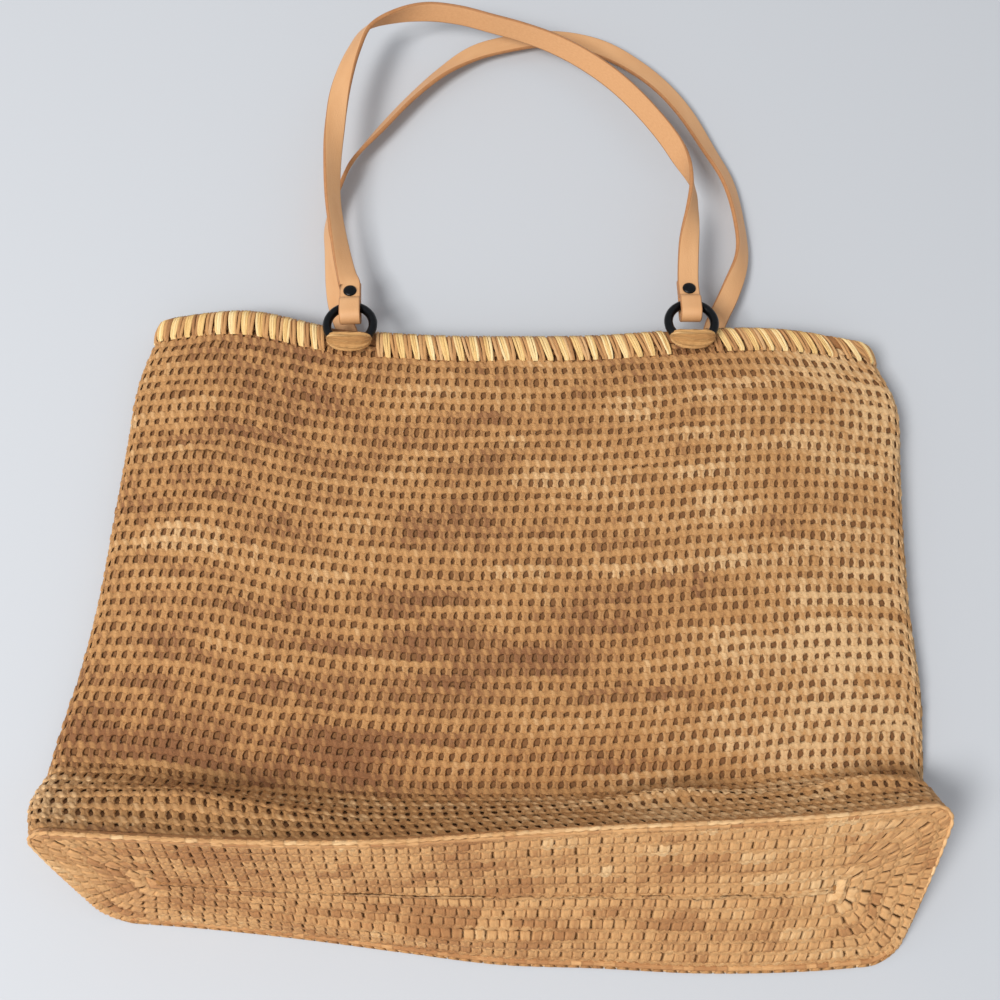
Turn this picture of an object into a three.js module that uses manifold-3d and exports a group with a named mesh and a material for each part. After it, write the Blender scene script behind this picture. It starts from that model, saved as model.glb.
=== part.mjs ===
// A crocheted raffia basket bag with two leather straps, lying on its back.
// Millimetres, +Z up. The mouth and the straps point to +Y and the front wall faces up. The base is
// folded up from the floor, so its front seam stands as a ridge and the front wall drops behind it
// into a crease. The origin is on the floor, under the middle of the back wall.
import * as THREE from "three";
import Module from "manifold-3d";
import { mergeVertices } from "three/addons/utils/BufferGeometryUtils.js";

// Driving dimensions of the crocheted body
const FABRIC = 3;
const BACK_LENGTH = 299; // back wall, from the base seam to its top edge
const BODY_WIDTH = 464; // across the crease, the widest place
const BASE_DEPTH = 96;
const BASE_CORNER = 14;
const CORNER_SHARE = 0.9; // most of the half depth that a rounded corner takes
const STRIP_SLOPE = 72; // degrees, of the front wall between the ridge and the crease
const CREASE_RISE = 10;
const CREASE_SOFT = 0.025; // share of the front over which the crease is rounded
const CROWN = 30; // highest place of the front wall
const SIDE_DROP = 0.55; // share of that rise lost at the sides
const MOUTH_STEP = 30; // how far the front's top edge reaches past the back's
const STEP_ROUND = 4; // how squarely that step ends at the sides, more is squarer
const CURL_START = 0.8; // share of the back wall where its top edge leaves the floor
const CURL_ROUND = 6; // how squarely the lifted edge ends at the sides
const FOLD_CALM = 0.06; // share of the front over which folds fade towards the ridge
const FOLD_TURN = 3; // how fast a fold on the strip turns from up to outward
const FOLD_SINK = 0.6; // share of a fold's height that it loses on the strip
const BASE_CALM = 0.3; // share of the base over which its folds fade towards the seam
const SEAM_GAP = 0.6;

// Rim binding
const RIM_THICK = 5.4;
const RIM_TALL = 8;
const RIM_GAP = 0.5;

// Rings, and the raffia tabs that hold them on the rim
const RING_RADIUS = 13;
const RING_STOCK = 5;
const TAB_WALL = 1.8;
const TAB_SWEEP = 96; // degrees of the ring that a tab covers
const TAB_DROP = 11; // from the rim's top edge down to the ring's lowest point
const TAB_SPARE = 1.6; // room for a tab's ends, which lean toward the rim
const CLEARANCE = 0.3;

// Straps and their rivets
const STRAP_WIDTH = 12;
const STRAP_THICK = 2.4;
const STRAP_BEVEL = 0.7;
const STRAP_FLAT = 5.3; // how far the strap runs on flat past its rivet
const FOLD_SLACK = 6; // how far a strap's fold hangs past the ring's wire
const RIVET_REACH = 9; // from the ring's wire to the rivet
const STRAP_TAIL = 8; // from the rivet to the end of the under layer
const LAYER_GAP = 0.5;
const FRONT_REACH = 186; // from the rivets to the top of the loop
const BACK_REACH = 212;
const FRONT_LIFT = 32; // highest place of the loop above the floor
const BACK_LIFT = 13.5;
const RIVET_CAP = 7.6;
const RIVET_FOOT = 5.4; // across the flat cap on the under side
const RIVET_SHANK = 3;
const DRILL_LENGTH = 12; // longer than the two layers are thick
const CAP_RISE = 1.6;
const CAP_DOME = [[0.86, 0.55], [0.5, 0.9]]; // the cap's profile, as shares of its radius and rise

// How the body changes from its left side (-1) to its right side (1). Shifts along Y are shares of
// BACK_LENGTH, depth is a share of BASE_DEPTH, and tilt is the base's angle from the floor.
const ACROSS = [
  { across: -1.0, keel: 0.07, tilt: 56.5, depth: 0.93, crease: 0.062, rim: 0.05 },
  { across: -0.75, keel: 0.058, tilt: 55, depth: 0.9, crease: 0.049, rim: 0.059 },
  { across: -0.5, keel: 0.041, tilt: 52.5, depth: 0.9, crease: 0.022, rim: 0.02 },
  { across: -0.25, keel: 0.02, tilt: 49, depth: 0.94, crease: 0.005, rim: 0.003 },
  { across: 0.0, keel: 0.0, tilt: 43.5, depth: 0.985, crease: 0.0, rim: 0.0 },
  { across: 0.25, keel: -0.006, tilt: 40, depth: 1.0, crease: 0.002, rim: 0.003 },
  { across: 0.5, keel: -0.014, tilt: 37, depth: 1.02, crease: 0.015, rim: 0.017 },
  { across: 0.75, keel: -0.012, tilt: 35, depth: 1.03, crease: 0.033, rim: 0.022 },
  { across: 1.0, keel: 0.0, tilt: 33, depth: 1.03, crease: 0.04, rim: 0.003 },
];

// How the body changes from the base seam (0) to the top edge (1). Width is a share of BODY_WIDTH,
// shift moves the middle sideways by a share of it, flare widens the front seam of the base, and
// bulge pushes the ends out between the front and the back.
const ALONG = [
  { along: 0.0, width: 0.925, shift: -0.001, flare: 0.052, bulge: 0.01 },
  { along: 0.09, width: 0.986, shift: -0.0133, flare: 0.018, bulge: 0.003 },
  { along: 0.19, width: 1.005, shift: -0.0168, flare: 0.0, bulge: 0.0 },
  { along: 0.27, width: 0.997, shift: -0.01, flare: 0.0, bulge: 0.0 },
  { along: 0.37, width: 0.982, shift: 0.0, flare: 0.0, bulge: 0.0 },
  { along: 0.5, width: 0.961, shift: 0.005, flare: 0.0, bulge: 0.0 },
  { along: 0.63, width: 0.952, shift: 0.009, flare: 0.0, bulge: 0.0 },
  { along: 0.77, width: 0.947, shift: 0.015, flare: 0.0, bulge: 0.0 },
  { along: 0.9, width: 0.942, shift: 0.0205, flare: 0.0, bulge: 0.0 },
  { along: 1.0, width: 0.896, shift: 0.0172, flare: 0.0, bulge: 0.0 },
];

// Rise of the front wall from the crease (0) to the top edge (1), as a share of the way to CROWN.
const HUMP = [
  { reach: 0.0, rise: 0.0 },
  { reach: 0.08, rise: 0.24 },
  { reach: 0.2, rise: 0.58 },
  { reach: 0.4, rise: 0.92 },
  { reach: 0.6, rise: 1.0 },
  { reach: 0.8, rise: 0.94 },
  { reach: 1.0, rise: 0.86 },
];

// Soft dents and folds of the front: where each lies, how wide and tall it is as shares of half the
// width and of the wall's length, and how far it stands out as a share of CROWN.
const FOLDS = [
  { across: -0.62, along: 0.1, wide: 0.2, tall: 0.035, rise: 0.2 },
  { across: 0.4, along: 0.14, wide: 0.14, tall: 0.03, rise: 0.2 },
  { across: 0.84, along: 0.13, wide: 0.12, tall: 0.025, rise: 0.18 },
  { across: -0.3, along: 0.82, wide: 0.35, tall: 0.1, rise: -0.16 },
  { across: 0.62, along: 0.78, wide: 0.3, tall: 0.2, rise: 0.12 },
  { across: -0.7, along: 0.45, wide: 0.22, tall: 0.14, rise: 0.12 },
  { across: 0.2, along: 0.42, wide: 0.4, tall: 0.08, rise: -0.1 },
];

// Soft folds of the base, placed the same way with across from -1 to 1 and deep from back to front.
const BASE_FOLDS = [
  { across: -0.2, deep: -0.62, wide: 0.42, tall: 0.14, rise: 0.09 },
  { across: 0.86, deep: 0.1, wide: 0.16, tall: 0.4, rise: -0.1 },
  { across: 0.1, deep: 0.1, wide: 0.6, tall: 0.5, rise: -0.08 },
];

// Where the rings hang: face 1 is the front rim and -1 the back rim, across is a share of half the
// mouth's width, tilt is the ring's angle from the floor and yaw turns the strap's end sideways.
const RINGS = [
  { name: "front_left", face: 1, across: -0.447, tilt: -14, yaw: 3 },
  { name: "front_right", face: 1, across: 0.483, tilt: -14, yaw: 0 },
  { name: "back_left", face: -1, across: -0.441, tilt: 2.6, yaw: 8 },
  { name: "back_right", face: -1, across: 0.495, tilt: 2.6, yaw: -26 },
];

// Each strap's route from its left rivet to its right one: across is a share of the way between the
// rivets, up a share of the loop's reach, rise a share of its lift, and roll how far the smooth side
// leans from facing up to facing out of the loop.
const FRONT_ROUTE = [
  { across: -0.015, up: 0.067, rise: 0.77, roll: -25 },
  { across: -0.039, up: 0.176, rise: 0.79, roll: -44 },
  { across: -0.062, up: 0.317, rise: 0.85, roll: -53 },
  { across: -0.067, up: 0.453, rise: 0.91, roll: -44 },
  { across: -0.062, up: 0.564, rise: 0.96, roll: -20 },
  { across: -0.047, up: 0.701, rise: 1.0, roll: 10 },
  { across: -0.011, up: 0.841, rise: 1.0, roll: 39 },
  { across: 0.03, up: 0.927, rise: 0.98, roll: 57 },
  { across: 0.115, up: 0.976, rise: 0.93, roll: 86 },
  { across: 0.212, up: 0.998, rise: 0.88, roll: 112 },
  { across: 0.313, up: 0.99, rise: 0.84, roll: 114 },
  { across: 0.414, up: 0.962, rise: 0.81, roll: 114 },
  { across: 0.515, up: 0.931, rise: 0.78, roll: 118 },
  { across: 0.616, up: 0.888, rise: 0.76, roll: 126 },
  { across: 0.716, up: 0.823, rise: 0.76, roll: 134 },
  { across: 0.815, up: 0.732, rise: 0.78, roll: 140 },
  { across: 0.91, up: 0.609, rise: 0.82, roll: 142 },
  { across: 0.981, up: 0.485, rise: 0.87, roll: 136 },
  { across: 1.024, up: 0.366, rise: 0.88, roll: 78 },
  { across: 1.022, up: 0.275, rise: 0.87, roll: 52 },
  { across: 1.007, up: 0.152, rise: 0.84, roll: 10 },
];
const BACK_ROUTE = [
  { across: -0.05, up: 0.15, rise: 0.62, roll: 34 },
  { across: -0.073, up: 0.303, rise: 0.6, roll: 60 },
  { across: -0.081, up: 0.384, rise: 0.6, roll: 70 },
  { across: -0.045, up: 0.522, rise: 0.6, roll: 70 },
  { across: -0.018, up: 0.583, rise: 0.6, roll: 68 },
  { across: 0.064, up: 0.689, rise: 0.58, roll: 54 },
  { across: 0.153, up: 0.794, rise: 0.56, roll: 50 },
  { across: 0.247, up: 0.883, rise: 0.54, roll: 38 },
  { across: 0.343, up: 0.947, rise: 0.5, roll: 12 },
  { across: 0.44, up: 0.978, rise: 0.48, roll: 7 },
  { across: 0.537, up: 0.995, rise: 0.48, roll: 7 },
  { across: 0.634, up: 0.991, rise: 0.48, roll: 8 },
  { across: 0.736, up: 0.959, rise: 0.48, roll: 4 },
  { across: 0.835, up: 0.896, rise: 0.5, roll: 14 },
  { across: 0.908, up: 0.829, rise: 0.52, roll: 20 },
  { across: 0.971, up: 0.746, rise: 0.54, roll: 25 },
  { across: 1.035, up: 0.626, rise: 0.57, roll: 36 },
  { across: 1.086, up: 0.523, rise: 0.6, roll: 44 },
  { across: 1.112, up: 0.399, rise: 0.64, roll: 52 },
  { across: 1.115, up: 0.284, rise: 0.68, roll: 47 },
  { across: 1.075, up: 0.173, rise: 0.7, roll: 16 },
  { across: 1.03, up: 0.08, rise: 0.7, roll: 6 },
];

// Fineness of the meshes, and the shares of the wall over which its slope is taken
const SEAM_STEP = 0.02;
const RIM_STEP = 0.03;
const EVENNESS = 0.6; // 1 spaces the long sides' columns evenly, less crowds them at the ends
const LONG_STEPS = 22;
const CORNER_STEPS = 4;
const WALL_ROWS = [0, 0.05, 0.1, 0.145, 0.18, 0.2, 0.23, 0.28, 0.36, 0.45, 0.55, 0.65, 0.75, 0.85, 0.93, 1];
const BASE_ROUNDS = [0, 0.28, 0.55, 0.8, 1];
const RING_STEPS = 20;
const WIRE_SIDES = 7;
const TAB_STEPS = 6;
const ROUTE_STEPS = 38;
const FOLD_STEPS = 5;
const RIVET_SIDES = 10;

const wasm = await Module();
wasm.setup();

const radians = THREE.MathUtils.degToRad;
const mix = THREE.MathUtils.lerp;

// Value of one column of a table at a place between its rows, on a smooth curve.
function read(table, key, column, at) {
  const last = table.length - 1;
  const slope = (i) => {
    const a = table[Math.max(i - 1, 0)];
    const b = table[Math.min(i + 1, last)];
    return (b[column] - a[column]) / (b[key] - a[key]);
  };
  const here = THREE.MathUtils.clamp(at, table[0][key], table[last][key]);
  let i = 0;
  while (i < last - 1 && here > table[i + 1][key]) i += 1;
  const span = table[i + 1][key] - table[i][key];
  const t = (here - table[i][key]) / span;
  const start = table[i][column] * (1 + 2 * t) * (1 - t) ** 2 + slope(i) * span * t * (1 - t) ** 2;
  const end = table[i + 1][column] * (3 - 2 * t) * t ** 2 - slope(i + 1) * span * (1 - t) * t ** 2;
  return start + end;
}

const across = (column, c) => read(ACROSS, "across", column, c);
const along = (column, v) => read(ALONG, "along", column, v);

// Height of soft bumps at a place: each is a bell of the given width and height.
function bumps(table, c, v, key) {
  let sum = 0;
  for (const fold of table) {
    const du = (c - fold.across) / fold.wide;
    const dv = (v - fold[key]) / fold.tall;
    sum += fold.rise * CROWN * Math.exp(-du * du - dv * dv);
  }
  return sum;
}

// Side profile of the body at a share c of the half width, as points in the YZ plane.
function keel(c) {
  return new THREE.Vector2(-BACK_LENGTH / 2 + across("keel", c) * BACK_LENGTH, 0);
}

function ridge(c) {
  const tilt = radians(across("tilt", c));
  const depth = BASE_DEPTH * across("depth", c);
  return keel(c).add(new THREE.Vector2(depth * Math.cos(tilt), depth * Math.sin(tilt)));
}

const STRIP_FALL = ridge(0).y - CREASE_RISE;
const CREASE_Y = ridge(0).x + STRIP_FALL / Math.tan(radians(STRIP_SLOPE));
const STRIP_LENGTH = STRIP_FALL / Math.sin(radians(STRIP_SLOPE));
const FRONT_TOP = BACK_LENGTH / 2 + MOUTH_STEP;
const CREASE_ALONG = STRIP_LENGTH / (STRIP_LENGTH + FRONT_TOP - CREASE_Y);
const SLEEVE = RING_STOCK / 2 + CLEARANCE + TAB_WALL; // outer radius of a tab round its wire
const BACK_RIM_RISE = 2 * SLEEVE + 3 * CLEARANCE + (RIM_THICK - FABRIC) / 2;

function topEdge(c) {
  return FRONT_TOP + across("rim", c) * BACK_LENGTH;
}

function frontRaw(c, v) {
  const creaseY = CREASE_Y + across("crease", c) * BACK_LENGTH;
  if (v < CREASE_ALONG) {
    const top = ridge(c);
    const share = v / CREASE_ALONG;
    return new THREE.Vector2(mix(top.x, creaseY, share), mix(top.y, CREASE_RISE, share));
  }
  const reach = (v - CREASE_ALONG) / (1 - CREASE_ALONG);
  const lens = 1 - SIDE_DROP * Math.abs(c) ** 3;
  const rise = (CROWN - CREASE_RISE) * read(HUMP, "reach", "rise", reach) * lens;
  return new THREE.Vector2(mix(creaseY, topEdge(c), reach), CREASE_RISE + rise);
}

// The front line, with the crease rounded by a running mean and the folds added.
function frontLine(c, v) {
  const reach = Math.min(CREASE_SOFT, v, 1 - v);
  const before = frontRaw(c, v - reach);
  const after = frontRaw(c, v + reach);
  const line = frontRaw(c, v).multiplyScalar(2).add(before).add(after).multiplyScalar(0.25);
  const calm = THREE.MathUtils.smoothstep(v, 0, FOLD_CALM);
  const out = bumps(FOLDS, c, v, "along") * calm;
  const slant = Math.max(0, 1 - v / CREASE_ALONG);
  return line.add(new THREE.Vector2(out * Math.min(1, FOLD_TURN * slant), out * (1 - FOLD_SINK * slant)));
}

function backLine(c, v) {
  const start = keel(c).x;
  const end = topEdge(c) - MOUTH_STEP * (1 - Math.abs(c) ** STEP_ROUND);
  const curl = THREE.MathUtils.smoothstep(v, CURL_START, 1) * (1 - Math.abs(c) ** CURL_ROUND);
  return new THREE.Vector2(mix(start, end, v), BACK_RIM_RISE * curl);
}

// One point of the body at height share v: x is measured from the loop's middle, and w runs from the
// back line (-1) to the front line (1).
function bodyPoint(x, w, v) {
  const half = (along("width", v) * BODY_WIDTH) / 2;
  const front = frontLine(x / half, v);
  const back = backLine(x / half, v);
  const spread = x * (1 + along("flare", v) * w + along("bulge", v) * (1 - w * w));
  const share = (1 + w) / 2;
  return new THREE.Vector3(
    along("shift", v) * BODY_WIDTH + spread,
    mix(back.x, front.x, share),
    mix(back.y, front.y, share),
  );
}

// Columns round the body: a long front side, a right end, a long back side and a left end. A long
// side's place is a share of its length, and an end's place is an angle on its rounded corners.
function columns() {
  const list = [];
  for (const face of [1, -1]) {
    for (let i = 0; i <= LONG_STEPS; i += 1) {
      const even = (2 * i) / LONG_STEPS - 1;
      list.push({ face, share: face * mix(Math.sin((even * Math.PI) / 2), even, EVENNESS), angle: null });
    }
    for (let i = 1; i <= CORNER_STEPS; i += 1) {
      list.push({ face, end: face, angle: (Math.PI / 2) * (1 - i / CORNER_STEPS) });
    }
    for (let i = 0; i < CORNER_STEPS; i += 1) {
      list.push({ face: -face, end: face, angle: (Math.PI / 2) * (i / CORNER_STEPS) });
    }
  }
  return list;
}

const COLUMNS = columns();

// Where a column crosses the loop at height share v, as x from the middle and w from back to front.
function loopPlace(column, v) {
  const half = (along("width", v) * BODY_WIDTH) / 2;
  const end = column.angle === null ? Math.sign(column.share) || 1 : column.end;
  const deep = frontLine(end, v).distanceTo(backLine(end, v)) / 2;
  const corner = Math.min(BASE_CORNER, CORNER_SHARE * deep);
  if (column.angle === null) return { x: (half - corner) * column.share, w: column.face };
  return {
    x: column.end * (half - corner + corner * Math.cos(column.angle)),
    w: (column.face * (deep - corner + corner * Math.sin(column.angle))) / deep,
  };
}

function wallPoint(column, v) {
  const place = loopPlace(column, v);
  return bodyPoint(place.x, place.w, v);
}

// The base between the seam (round 0) and its middle line (round 1), with its soft folds.
function basePoint(column, round) {
  const place = loopPlace(column, 0);
  const half = (along("width", 0) * BODY_WIDTH) / 2;
  const middle = half - BASE_DEPTH / 2;
  const target = column.angle === null ? middle * column.share : middle * column.end;
  const x = mix(place.x, target, round);
  const w = place.w * (1 - round);
  const tilt = radians(across("tilt", x / half));
  const calm = THREE.MathUtils.smoothstep(round, 0, BASE_CALM);
  const out = bumps(BASE_FOLDS, x / half, w, "deep") * calm;
  return bodyPoint(x, w, 0).add(new THREE.Vector3(0, -Math.sin(tilt), Math.cos(tilt)).multiplyScalar(out));
}

const direction = (from, to) => to.clone().sub(from).normalize();
const moved = (point, way, distance) => point.clone().addScaledVector(way, distance);

// Outward normals of a grid of rows, each row one closed loop of columns.
function gridNormals(rows) {
  return rows.map((row, j) =>
    row.map((point, i) => {
      const round = direction(row.at(i - 1), row[(i + 1) % row.length]);
      const low = rows[Math.max(j - 1, 0)][i];
      const high = rows[Math.min(j + 1, rows.length - 1)][i];
      return round.cross(direction(low, high)).normalize();
    }),
  );
}

// A closed mesh from points and a list of quads, cut into triangles. Points that coincide are one.
function meshOf(points, quads) {
  const index = [];
  for (const [a, b, c, d] of quads) index.push(a, b, c, a, c, d);
  const geometry = new THREE.BufferGeometry().setFromPoints(points).setIndex(index);
  const merged = mergeVertices(geometry, 1e-3);
  const kept = [];
  const all = merged.index.array;
  for (let i = 0; i < all.length; i += 3) {
    const corners = new Set([all[i], all[i + 1], all[i + 2]]);
    if (corners.size === 3) kept.push(all[i], all[i + 1], all[i + 2]);
  }
  return merged.setIndex(kept);
}

// Quads between neighbouring rows of a closed grid. Each row is a closed loop of count columns.
function rowQuads(order, count) {
  const quads = [];
  for (let j = 0; j + 1 < order.length; j += 1) {
    for (let i = 0; i < count; i += 1) {
      const next = (i + 1) % count;
      const low = order[j] * count;
      const high = order[j + 1] * count;
      quads.push([low + i, low + next, high + next, high + i]);
    }
  }
  return quads;
}

// The seam, where wall and base meet at an angle: each ends on the plane halfway between them. Up and
// inward run square to the seam in the wall and in the base, and beneath runs through the base.
const SEAM = COLUMNS.map((column) => wallPoint(column, 0));

function seamFrame(i) {
  const corner = SEAM[i];
  const seam = direction(SEAM.at(i - 1), SEAM[(i + 1) % SEAM.length]);
  const square = (way) => way.addScaledVector(seam, -way.dot(seam)).normalize();
  const up = square(direction(corner, wallPoint(COLUMNS[i], SEAM_STEP)));
  const inward = square(direction(corner, basePoint(COLUMNS[i], SEAM_STEP)));
  const half = up.angleTo(inward) / 2;
  return {
    corner,
    up,
    inward,
    outward: seam.clone().cross(up).normalize(),
    beneath: seam.clone().cross(inward).normalize(),
    edge: SEAM_GAP / 2 / Math.sin(half),
    mitre: FABRIC / Math.tan(half),
  };
}

// The wall: an outer skin, and an inner skin one fabric thickness inside it.
function crochetedWall() {
  const outer = WALL_ROWS.map((v) => COLUMNS.map((column) => wallPoint(column, v)));
  const normals = gridNormals(outer);
  const inner = outer.map((row, j) => row.map((point, i) => moved(point, normals[j][i], -FABRIC)));
  COLUMNS.forEach((_, i) => {
    const seam = seamFrame(i);
    outer[0][i] = moved(seam.corner, seam.up, seam.edge);
    inner[0][i] = moved(moved(seam.corner, seam.up, seam.edge + seam.mitre), seam.outward, -FABRIC);
  });
  const rows = [...outer, ...inner.reverse()];
  const order = [...rows.keys(), 0];
  return meshOf(rows.flat(), rowQuads(order, COLUMNS.length));
}

// The base: rounds from the seam to the middle line, on an outer and an inner skin.
function basePanel() {
  const outer = BASE_ROUNDS.map((round) => COLUMNS.map((column) => basePoint(column, round)));
  const inside = COLUMNS.map((column) => {
    const half = (along("width", 0) * BODY_WIDTH) / 2;
    const tilt = radians(across("tilt", loopPlace(column, 0).x / half));
    return new THREE.Vector3(0, Math.sin(tilt), -Math.cos(tilt));
  });
  const inner = outer.map((row) => row.map((point, i) => moved(point, inside[i], FABRIC)));
  COLUMNS.forEach((_, i) => {
    const seam = seamFrame(i);
    outer[0][i] = moved(seam.corner, seam.inward, seam.edge);
    inner[0][i] = moved(moved(seam.corner, seam.inward, seam.edge + seam.mitre), seam.beneath, FABRIC);
  });
  const rows = [...outer.reverse(), ...inner];
  return meshOf(rows.flat(), rowQuads([...rows.keys()], COLUMNS.length));
}

// The top edge at one column: its middle point, the way up out of the fabric and the way outward.
function edgeFrame(column, normal) {
  const top = wallPoint(column, 1);
  const up = direction(wallPoint(column, 1 - RIM_STEP), top);
  return { top: moved(top, normal, -FABRIC / 2), up, out: normal };
}

const TOP_ROWS = [1 - RIM_STEP, 1].map((v) => COLUMNS.map((column) => wallPoint(column, v)));
const TOP_NORMALS = gridNormals(TOP_ROWS)[1];

// The rim binding: a flat cord with a rounded top, carried round the whole top edge.
function rimBand() {
  const section = [
    [-0.5, 0],
    [0.5, 0],
    [0.5, 0.6],
    [0.25, 1],
    [-0.25, 1],
    [-0.5, 0.6],
  ];
  const rows = section.map(([side, tall]) =>
    COLUMNS.map((column, i) => {
      const edge = edgeFrame(column, TOP_NORMALS[i]);
      const low = moved(edge.top, edge.up, RIM_GAP + RIM_TALL * tall);
      return moved(low, edge.out, RIM_THICK * side);
    }),
  );
  const order = [...rows.keys(), 0];
  return meshOf(rows.flat(), rowQuads(order, COLUMNS.length));
}

// Where a ring hangs: its middle, the way from its tab to its far side, and the way out of its plane.
function ringFrame(ring) {
  const half = (along("width", 1) * BODY_WIDTH) / 2;
  const column = { face: ring.face, share: ring.across, angle: null };
  const top = wallPoint(column, 1);
  const up = direction(wallPoint(column, 1 - RIM_STEP), top);
  const out = new THREE.Vector3(0, -up.z, up.y).multiplyScalar(ring.face);
  const tilt = radians(ring.tilt);
  const reach = new THREE.Vector3(0, Math.cos(tilt), Math.sin(tilt));
  const plane = new THREE.Vector3(0, -Math.sin(tilt), Math.cos(tilt));
  const lean = TAB_SPARE * RING_RADIUS * (1 - Math.cos(radians(TAB_SWEEP / 2))) * Math.abs(Math.sin(tilt));
  const stand = (RIM_THICK - FABRIC) / 2 + CLEARANCE + SLEEVE + lean;
  const low = moved(moved(top, up, RIM_GAP + RIM_TALL - TAB_DROP), out, stand);
  low.x = along("shift", 1) * BODY_WIDTH + half * ring.across;
  return { middle: moved(low, reach, RING_RADIUS), reach, plane };
}

// A tube of the given outer radius round part of a ring's wire, hollow where hole is over zero.
function ringTube(frame, outerRadius, hole, steps, sweep) {
  const whole = sweep === 360;
  const count = whole ? steps : steps + 1;
  const sectionRows = [];
  const radii = hole > 0 ? [outerRadius, hole] : [outerRadius];
  for (const radius of radii) {
    for (let k = 0; k < WIRE_SIDES; k += 1) {
      const turn = (2 * Math.PI * k) / WIRE_SIDES;
      const row = [];
      for (let i = 0; i < count; i += 1) {
        const angle = radians(-90 - sweep / 2 + (sweep * i) / steps);
        const side = new THREE.Vector3(Math.cos(angle), 0, 0).addScaledVector(frame.reach, Math.sin(angle));
        const wire = moved(frame.middle, side, RING_RADIUS + radius * Math.cos(turn));
        row.push(moved(wire, frame.plane, radius * Math.sin(turn)));
      }
      sectionRows.push(row);
    }
  }
  const quads = [];
  const at = (layer, k, i) => (layer * WIRE_SIDES + (k % WIRE_SIDES)) * count + (i % count);
  radii.forEach((radius, layer) => {
    for (let k = 0; k < WIRE_SIDES; k += 1) {
      for (let i = 0; i < (whole ? count : steps); i += 1) {
        const quad = [at(layer, k, i), at(layer, k, i + 1), at(layer, k + 1, i + 1), at(layer, k + 1, i)];
        quads.push(layer ? quad.reverse() : quad);
      }
    }
  });
  if (hole > 0) {
    for (let k = 0; k < WIRE_SIDES; k += 1) {
      quads.push([at(0, k, 0), at(0, k + 1, 0), at(1, k + 1, 0), at(1, k, 0)]);
      quads.push([at(0, k, steps), at(1, k, steps), at(1, k + 1, steps), at(0, k + 1, steps)]);
    }
  }
  return meshOf(sectionRows.flat(), quads);
}

const ringMesh = (ring) => ringTube(ringFrame(ring), RING_STOCK / 2, 0, RING_STEPS, 360);

const tabMesh = (ring) => {
  const hole = RING_STOCK / 2 + CLEARANCE;
  return ringTube(ringFrame(ring), hole + TAB_WALL, hole, TAB_STEPS, TAB_SWEEP);
};

// A strap's end: the way along it from the ring to the rivet, the way up through its layers, the
// middle of its fold, the rivet's place on the upper layer, and where the strap's free route starts.
const FOLD_RADIUS = RING_STOCK / 2 + LAYER_GAP + STRAP_THICK / 2;
const PINCH = (STRAP_THICK + LAYER_GAP) / 2;

function strapEnd(ring) {
  const frame = ringFrame(ring);
  const yaw = radians(ring.yaw);
  const way = frame.reach.clone().multiplyScalar(Math.cos(yaw)).add(new THREE.Vector3(-Math.sin(yaw), 0, 0));
  const wire = moved(frame.middle, way, RING_RADIUS);
  const fold = moved(wire, way, -FOLD_SLACK);
  const rivet = moved(moved(wire, way, RIVET_REACH), frame.plane, PINCH);
  return { way, up: frame.plane, fold, rivet, leave: moved(rivet, way, STRAP_FLAT) };
}

// The folded end as stations from the tail of the under layer to where the free route starts. The
// layers lie a wire apart round the ring and are pinched together at the rivet.
function foldStations(end) {
  const rivet = FOLD_SLACK + RIVET_REACH;
  const past = FOLD_SLACK + RING_STOCK / 2 + LAYER_GAP;
  const at = (distance, height) => moved(moved(end.fold, end.way, distance), end.up, height);
  const down = end.up.clone().negate();
  const under = [rivet + STRAP_TAIL, rivet + RIVET_FOOT / 2, rivet - RIVET_FOOT / 2];
  const stations = under.map((distance) => ({ point: at(distance, -PINCH), normal: down }));
  stations.push({ point: at(past, -FOLD_RADIUS), normal: down });
  for (let i = 0; i <= FOLD_STEPS; i += 1) {
    const turn = (Math.PI * i) / FOLD_STEPS;
    const out = end.way.clone().multiplyScalar(-Math.sin(turn)).addScaledVector(end.up, -Math.cos(turn));
    stations.push({ point: moved(end.fold, out, FOLD_RADIUS), normal: out });
  }
  stations.push({ point: at(past, FOLD_RADIUS), normal: end.up.clone() });
  stations.push({ point: at(rivet - RIVET_CAP / 2, PINCH), normal: end.up.clone() });
  stations.push({ point: end.leave.clone(), normal: end.up.clone() });
  return stations;
}

// All stations of a strap: the left fold, the route between the rivets and the right fold.
function strapStations(left, right, route, reach, lift) {
  const start = foldStations(left);
  const finish = foldStations(right).reverse();
  const middle = route.map((row) => {
    const point = left.rivet.clone().lerp(right.rivet, row.across);
    point.y += reach * row.up;
    point.z = lift * row.rise;
    return point;
  });
  const path = [left.rivet, left.leave, ...middle, right.leave, right.rivet];
  const curve = new THREE.CatmullRomCurve3(path, false, "centripetal");
  const rolls = [{ place: 0, roll: 0 }, ...route.map((row, i) => ({ place: i + 1, roll: row.roll }))];
  rolls.push({ place: route.length + 1, roll: 0 });
  const stations = [];
  for (let i = 1; i < ROUTE_STEPS; i += 1) {
    const place = ((route.length + 1) * i) / ROUTE_STEPS;
    const share = (place + 1) / (route.length + 3);
    const tangent = curve.getTangent(share);
    const out = new THREE.Vector3(0, 0, 1).cross(tangent).normalize();
    const up = tangent.clone().cross(out);
    const roll = radians(read(rolls, "place", "roll", place));
    const normal = up.multiplyScalar(Math.cos(roll)).addScaledVector(out, Math.sin(roll));
    stations.push({ point: curve.getPoint(share), normal });
  }
  return [...start, ...stations, ...finish];
}

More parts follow.
